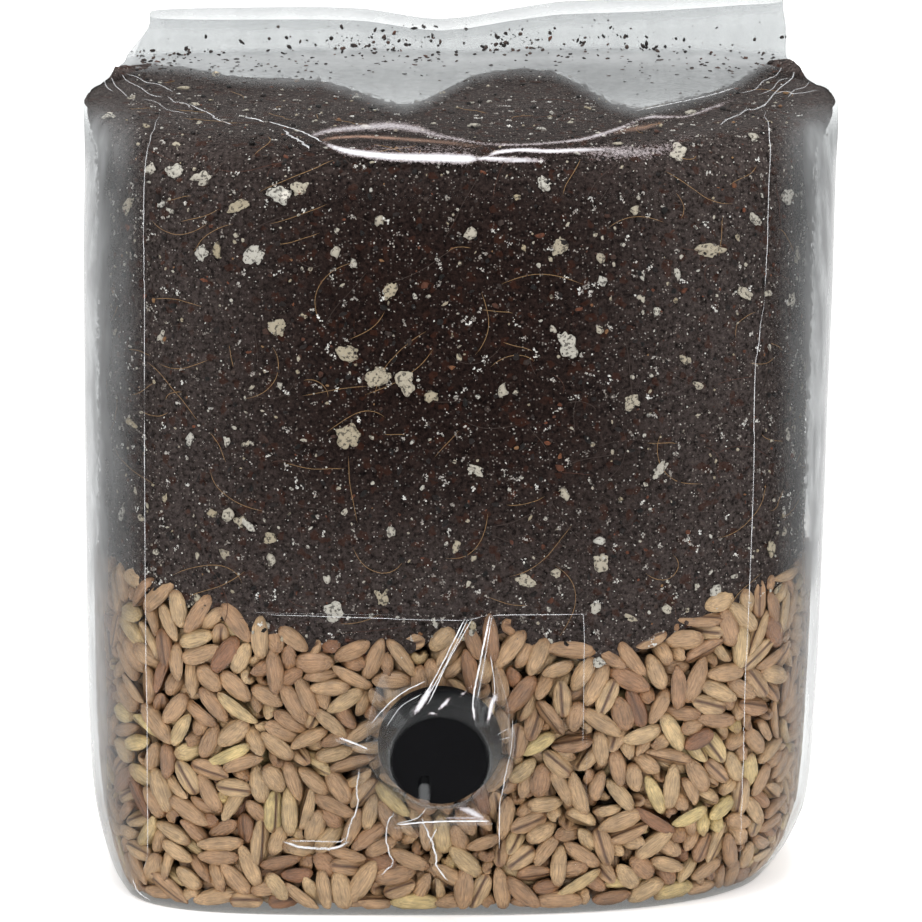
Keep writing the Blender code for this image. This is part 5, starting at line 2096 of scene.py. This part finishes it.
@dataclass
class PortTape:
    """The clear tape over the stopper: a tent with pulled wrinkles that lands on the film."""

    shape: BagShape
    view: FrontView
    port: InjectionPort
    width: float = 50.8
    height: float = 40.5
    shift: float = -2.9
    lift: float = 0.42
    spread: float = 1.8
    thickness: float = 0.25
    pitch: float = 0.25
    ridges: tuple = (
        ((0.9, -24.6), (-4.1, -34.8), (-7.4, -39.8)),
        ((4.7, -24.1), (3.1, -32.0), (2.0, -38.4), (2.2, -40.9)),
        ((4.7, -29.0), (5.7, -37.2), (4.4, -40.6)),
        ((-5.4, -34.6), (-8.5, -36.1), (-11.5, -38.4), (-14.3, -41.6)),
        ((8.2, -40.5), (7.9, -45.0), (7.2, -48.2), (6.6, -51.8), (6.1, -53.9), (6.0, -61.1)),
        ((-10.1, -57.3), (-5.7, -56.9), (-0.8, -56.7), (4.6, -56.7)),
        ((-6.3, -56.1), (-4.7, -59.8), (-3.8, -62.5)),
        ((-10.6, -55.3), (-11.8, -58.1), (-11.5, -61.1)),
        ((-19.2, -43.6), (-17.2, -44.3), (-14.6, -45.4)),
    )
    # painted highlights on the tape's wrinkles: each line's (x, h) places, strength and half width
    painted_glints: tuple = (
        (
            (-4.4, -35.1, 0.5, 0.18), (-5.5, -37.0, 1.0, 0.36), (-6.5, -38.6, 1.0, 0.34),
            (-7.6, -40.2, 0.4, 0.12),
        ),
        ((5.3, -37.0, 0.7, 0.5), (4.7, -38.3, 1.0, 0.4), (4.3, -40.0, 1.0, 0.26), (4.0, -41.4, 0.3, 0.1)),
        (
            (-0.9, -54.3, 0.35, 0.25), (1.2, -55.0, 0.85, 0.6), (2.5, -55.7, 0.9, 0.55),
            (4.0, -56.5, 0.5, 0.16),
        ),
        (
            (-4.6, -56.6, 0.5, 0.12), (-1.4, -56.2, 0.75, 0.2), (1.4, -56.2, 0.8, 0.22),
            (4.3, -56.7, 0.5, 0.12),
        ),
        ((-3.4, -39.1, 0.8, 0.2), (-2.5, -38.2, 1.0, 0.3), (-1.8, -37.4, 0.6, 0.12)),
        ((-5.0, -39.7, 0.5, 0.14), (-4.3, -39.8, 0.95, 0.18), (-3.7, -39.8, 0.5, 0.12)),
        ((0.0, -36.9, 0.7, 0.24), (0.9, -36.1, 0.7, 0.14), (1.7, -35.4, 0.5, 0.1)),
        ((1.8, -38.0, 0.5, 0.14), (1.9, -39.6, 0.9, 0.2), (2.1, -41.0, 0.6, 0.12)),
        ((-3.6, -34.6, 0.4, 0.12), (-4.6, -37.0, 0.7, 0.16), (-5.4, -38.6, 0.4, 0.1)),
    )
    creases: tuple = (
        (((0.7, -24.7), (-4.3, -34.6), (-6.6, -38.3)), 0.22, 0.85),
        (((1.1, -24.7), (-3.7, -34.4), (-6.0, -38.3)), 0.16, 0.6),
        (((1.8, -24.7), (-2.6, -32.6), (-5.2, -38.4)), 0.18, 0.65),
        (((4.6, -24.1), (3.0, -32.0), (1.9, -38.4), (2.1, -40.9)), 0.28, 0.9),
        (((4.9, -24.1), (3.6, -31.6), (2.5, -37.8)), 0.16, 0.5),
        (((4.7, -30.6), (5.3, -36.0), (4.9, -39.2)), 0.16, 0.45),
        (((-5.4, -34.6), (-8.5, -36.1), (-11.5, -38.4), (-14.3, -41.6)), 0.2, 0.6),
        (((-6.1, -36.7), (-9.3, -38.6), (-11.7, -41.9)), 0.15, 0.4),
        (((8.2, -40.5), (7.9, -45.0), (7.2, -48.2), (6.6, -51.8), (6.1, -53.9), (6.0, -61.1)), 0.18, 0.5),
        (((-10.1, -57.3), (-5.7, -56.9), (-0.8, -56.7), (4.6, -56.7)), 0.3, 0.9),
        (((-10.2, -57.2), (-6.8, -56.2), (-5.4, -54.6)), 0.2, 0.6),
        (((-3.8, -57.8), (-5.0, -60.2)), 0.2, 0.5),
        (((-19.2, -43.6), (-17.2, -44.3), (-14.6, -45.4)), 0.35, 0.6),
        (((-30.9, -24.2), (-17.5, -24.6), (0.0, -25.1), (4.6, -24.2)), 0.1, 0.32),
        (((4.6, -24.0), (13.1, -22.6), (19.0, -21.8)), 0.1, 0.34),
        (((19.0, -21.8), (19.4, -27.1), (19.2, -45.0)), 0.1, 0.3),
        (((5.5, -43.2), (7.6, -42.0)), 0.14, 0.4),
        (((5.8, -44.0), (8.0, -43.4)), 0.12, 0.35),
    )

    def surface(self, level: np.ndarray, up: np.ndarray) -> tuple:
        """The tape's points and normals, at distances from the port's axis.

        Over the plug the tape is flat at the plug's height. Outside the foot it lies on the film, and
        in between it slopes, the slope reaching further above the port. Ridges raise it.
        """
        film, normals = self.shape.front(level + self.port.offset, up + self.port.height)
        foot, side, rise, out = self.port.axes()
        crown = self.port.standoff() + self.port.flange_depth + self.port.plug_depth + self.port.seat
        flat = foot + level[..., None] * side + up[..., None] * rise + crown * out
        away = np.hypot(level, up)
        upward = np.clip(up / np.maximum(away, 1e-6), 0, 1) ** 3
        reach = self.port.flange + self.spread + 6.5 * upward
        start = self.port.plug + 0.35
        share = np.clip((away - start) / (reach - start), 0, 1)
        share = share ** (0.75 + 0.1 * upward)
        base = film + normals * self.lift
        points = flat * (1 - share[..., None]) + base * share[..., None]
        seen = self.view.project(points)
        raised = np.zeros(level.shape)
        for line in self.ridges:
            raised = np.maximum(raised, 0.45 * stroke_field(seen, line, 0.5))
        off = away > self.port.plug - 0.2
        points = points + normals * (raised * off)[..., None]
        return points, seen, away

    def fields(self, seen: np.ndarray, level: np.ndarray, up: np.ndarray, away: np.ndarray) -> tuple:
        """The haze, gloss and painted highlight of each point: a veil where the tape hangs free, over a clear
        face.
        """
        turn = np.arctan2(up, level)
        bubble = np.interp(
            turn,
            (-3.14, -2.4, -1.9, -1.57, -1.2, -0.7, 0.0, 0.5, 0.9, 1.57, 2.2, 2.8, 3.14),
            (12.6, 15.0, 15.5, 15.0, 14.5, 13.0, 10.7, 11.0, 10.6, 9.6, 9.8, 11.6, 12.6),
        )
        beside = smoothstep(self.port.plug - 0.1, self.port.plug + 0.2, away)
        veil = smoothstep(1.2, -0.6, away - bubble) * beside
        ring = smoothstep(self.port.flange + 0.4, self.port.flange - 0.3, away)
        # painted light: the veil over the flange is painted stronger below the plug, the upper side left
        # darker as in the plug's shade
        lower = smoothstep(6.0, 0.0, up) * smoothstep(9.0, 5.0, np.abs(level)) + smoothstep(4.0, -2.0, up)
        haze = veil * (0.07 + 0.13 * ring * np.clip(lower, 0, 1))
        gap = np.hypot(level - self.port.slot_offset, np.maximum(up + 4.4, 0)) - self.port.slot_half
        slot = smoothstep(0.15, -0.15, gap) * (away < self.port.plug - 0.2) * (up > -7.6)
        haze = haze + 0.26 * slot
        # painted highlights on the tape's wrinkles
        painted_glint = np.zeros(level.shape)
        for line in self.painted_glints:
            painted_glint = np.maximum(painted_glint, stroke_field(seen, line, 1.0))
        gloss = 0.03 + 0.3 * veil
        return haze, gloss, painted_glint

    def build(self) -> Skin:
        """Makes the tape, a closed sheet of its own thickness.

        Returns:
            The near side of its surface.
        """
        left = self.shift - self.width / 2
        columns = int(self.width / self.pitch)
        rows = int(self.height / self.pitch)
        level, up = np.meshgrid(
            np.linspace(left, left + self.width, columns),
            np.linspace(-self.height / 2, self.height / 2, rows),
        )
        points, seen, away = self.surface(level, up)
        normals = grid_normals_open(points)
        haze, gloss, painted_glint = self.fields(seen, level, up, away)
        outer = points + normals * self.thickness
        everything = np.concatenate([outer.reshape(-1, 3), points.reshape(-1, 3)])
        quads = sheet_faces(rows, columns)
        edge = np.concatenate(
            [
                np.arange(columns),
                np.arange(1, rows) * columns + columns - 1,
                (rows - 1) * columns + np.arange(columns - 2, -1, -1),
                np.arange(rows - 2, 0, -1) * columns,
            ]
        )
        ahead = np.roll(edge, -1)
        total = rows * columns
        rim = np.stack([edge, edge + total, ahead + total, ahead], axis=1)
        inner = quads[:, ::-1] + total
        material = FilmMaterial(
            name="clear_packing_tape", tint="#FFFFFF", edge_tint="#EEEFF0", crease_depth=0.02
        )
        obj = new_piece("clear_tape", everything, [quads, inner, rim], material.build())
        set_attribute(obj, "haze", np.concatenate([haze.ravel(), np.zeros(total)]))
        set_attribute(obj, "gloss", np.concatenate([gloss.ravel(), np.full(total, 0.1)]))
        set_attribute(obj, "crease", np.full(2 * total, 0.15))
        set_attribute(obj, "paler", np.full(2 * total, 0.75))
        set_attribute(obj, "painted_glint", np.concatenate([painted_glint.ravel(), np.zeros(total)]))
        dress(obj, Slot.TAPE, "port_tape")
        return Skin.of(self.view, outer, normals)


@dataclass(frozen=True)
class FilterMaterial(Finish):
    """Spunbonded polypropylene: white crossed fibres pressed flat, matt."""

    name: str = "spunbonded_polypropylene_filter"
    stops: tuple = ((0.35, "#A6A8A8"), (0.65, "#CFD1D0"))

    def lay(self, tree: bpy.types.NodeTree) -> bpy.types.Node:
        """Lays the nodes.

        Args:
            tree: The material's node tree.

        Returns:
            The shader.
        """
        place = add_node(tree, "TexCoord").outputs["Object"]
        fibres = []
        for stretch in ((1.0, 1.0, 0.15), (0.15, 1.0, 1.0)):
            along = add_node(tree, "Mapping", {"Vector": place, "Scale": stretch})
            fibres.append(add_node(tree, "TexNoise", {"Vector": along, "Scale": 5000.0, "Detail": 2.0}))
        both = add_node(tree, "Math", {0: fibres[0], 1: fibres[1]}, operation="MAXIMUM")
        ramp = add_node(tree, "ValToRGB", {"Fac": both})
        set_stops(ramp, self.stops)
        bump = add_node(tree, "Bump", {"Height": both, "Strength": 0.4, "Distance": 0.05 * MM})
        return add_node(tree, "BsdfPrincipled", {"Base Color": ramp, "Roughness": 0.8, "Normal": bump})


@dataclass
class FilterPatch:
    """The breathing filter: a white non-woven square with rounded corners and a pressed rim."""

    middle: tuple = (1.03, 93.5)
    inner: float = 49.05
    size: float = 40.0
    corner: float = 3.0
    thickness: float = 0.5
    rings: int = 70
    columns: int = 240

    def build(self) -> bpy.types.Object:
        """Makes the patch from rings drawn in to its middle, with fibre relief, and a flat back.

        Returns:
            The piece.
        """
        turn = 2 * math.pi * (np.arange(self.columns) + 0.5) / self.columns
        reach = self.size / 2 - self.corner
        way = np.stack([np.cos(turn), np.sin(turn)], axis=1)
        square = way / np.abs(way).max(axis=1, keepdims=True) * (reach + self.corner)
        inside = np.clip(square, -reach, reach)
        rim = inside + unit(square - inside) * self.corner
        shares = np.linspace(1, 0.01, self.rings)
        grid = rim[None] * shares[:, None, None]
        flat = np.stack([grid[..., 0], np.zeros(grid.shape[:2]), grid[..., 1]], axis=-1).reshape(-1, 3)
        from_rim = (1 - shares[:, None]) * np.abs(rim).max(axis=1)[None]
        relief = 0.05 * lattice_noise(flat, 0.9, 51) + 0.04 * lattice_noise(flat, 0.45, 52)
        press = 0.12 * np.exp(-(((from_rim - 2.5) / 0.8) ** 2))
        edge = self.thickness * (1 - 0.75 * smoothstep(0.5, 0.0, from_rim))
        height = np.minimum(edge - 0.07 - press + relief.reshape(edge.shape), self.thickness)
        x, z = self.middle
        front = np.stack([grid[..., 0] + x, self.inner + height, grid[..., 1] + z], axis=-1)
        base = np.stack([rim[:, 0] + x, np.full(self.columns, self.inner), rim[:, 1] + z], axis=-1)
        points = np.concatenate([base[None], front]).reshape(-1, 3)
        ends = np.array([[x, self.inner, z], [x, self.inner + self.thickness - 0.1, z]])
        rows = self.rings + 1
        faces = [tube_faces(rows, self.columns), end_fans(rows, self.columns)]
        obj = new_piece("filter_fabric", np.concatenate([points, ends]), faces, FilterMaterial().build())
        dress(obj, Slot.FILTER, "filter_patch")
        return obj


@dataclass(frozen=True)
class FloorMaterial(Finish):
    """White paper, matt, with a faint tooth, lit a little from within so that it stays pale."""

    name: str = "white_paper_floor"
    shade: tuple = (0.95, 0.95, 0.95, 1.0)
    glow: float = 0.35

    def lay(self, tree: bpy.types.NodeTree) -> bpy.types.Node:
        """Lays the nodes.

        Args:
            tree: The material's node tree.

        Returns:
            The shader.
        """
        place = add_node(tree, "TexCoord").outputs["Object"]
        tooth = add_node(tree, "TexNoise", {"Vector": place, "Scale": 900.0})
        bump = add_node(tree, "Bump", {"Height": tooth, "Strength": 0.05, "Distance": 0.1 * MM})
        values = {
            "Base Color": self.shade,
            "Roughness": 0.9,
            "Normal": bump,
            "Emission Color": (1.0, 1.0, 1.0, 1.0),
            "Emission Strength": self.glow,
        }
        return add_node(tree, "BsdfPrincipled", values)


@dataclass(frozen=True)
class Studio:
    """A white studio: even light all round, a long softbox overhead and a pale floor."""

    view: FrontView
    softbox: tuple = (0.0, -0.20, 1.20)
    softbox_size: tuple = (0.70, 0.20)
    softbox_power: float = 9.0
    softbox_aim: tuple = (0.0, 0.0, 0.08)
    fill_power: float = 4.0
    fill_size: float = 0.6
    fill_place: tuple = (0.7, -1.3, 0.75)
    fill_tilt: float = math.radians(62)
    fill_turn: float = math.radians(28)
    sky: float = 1.0
    floor_radius: float = 4000.0
    floor_drop: float = 0.15
    floor_sides: int = 96

    def build(self) -> None:
        """Adds the world, lights, floor and camera."""
        world = bpy.data.worlds.new("white_studio")
        world.use_nodes = True
        background = world.node_tree.nodes["Background"]
        background.inputs["Color"].default_value = (1.0, 1.0, 1.0, 1.0)
        background.inputs["Strength"].default_value = self.sky
        bpy.context.scene.world = world
        data = bpy.data.lights.new("softbox", "AREA")
        data.shape = "RECTANGLE"
        data.size, data.size_y = self.softbox_size
        data.energy = self.softbox_power
        light = bpy.data.objects.new("softbox", data)
        light.location = self.softbox
        aim = np.array(self.softbox_aim) - np.array(self.softbox)
        light.rotation_euler = (math.atan2(aim[1], -aim[2]), 0.0, 0.0)
        bpy.context.scene.collection.objects.link(light)
        for side in (-1, 1):
            data = bpy.data.lights.new("front_fill", "AREA")
            data.size = self.fill_size
            data.energy = self.fill_power
            fill = bpy.data.objects.new("front_fill", data)
            fill.location = (side * self.fill_place[0], *self.fill_place[1:])
            fill.rotation_euler = (self.fill_tilt, 0.0, side * self.fill_turn)
            fill.visible_glossy = False
            bpy.context.scene.collection.objects.link(fill)
        around = np.arange(self.floor_sides)
        turn = 2 * math.pi * around / self.floor_sides
        reach = self.floor_radius * np.stack([np.cos(turn), np.sin(turn)], axis=1)
        points = np.full((self.floor_sides + 1, 3), (0.0, 0.0, -self.floor_drop))
        points[:-1, :2] = reach
        pole = np.full(self.floor_sides, self.floor_sides)
        fan = np.stack([around, (around + 1) % self.floor_sides, pole], axis=1)
        floor = new_piece("floor", points, [fan], FloorMaterial().build())
        self.view.add_camera()
        settings = bpy.context.scene.view_settings
        settings.view_transform = "Standard"
        settings.look = "None"


def main() -> None:
    """Builds every piece in order."""
    logging.basicConfig(level=logging.INFO, format="%(message)s")
    shape = BagShape()
    view = FrontView()
    filling = Filling(shape, view)
    Studio(view).build()
    skin = BagFilm(shape, view).build(filling)
    FilmCreases(skin).build()
    substrate = Substrate(shape, view, filling)
    points, normals = substrate.surface()
    substrate.build_block(points)
    SubstrateDetail(shape, view, points, normals).build()
    NeckCrumbs(skin).build()
    GrainBed(shape, filling).build()
    port = InjectionPort(shape)
    port.build()
    tape = PortTape(shape, view, port)
    FilmCreases(tape.build(), "tape_creases", Slot.TAPE, tape.creases).build()
    FilterPatch().build()


if __name__ == "__main__":
    main()
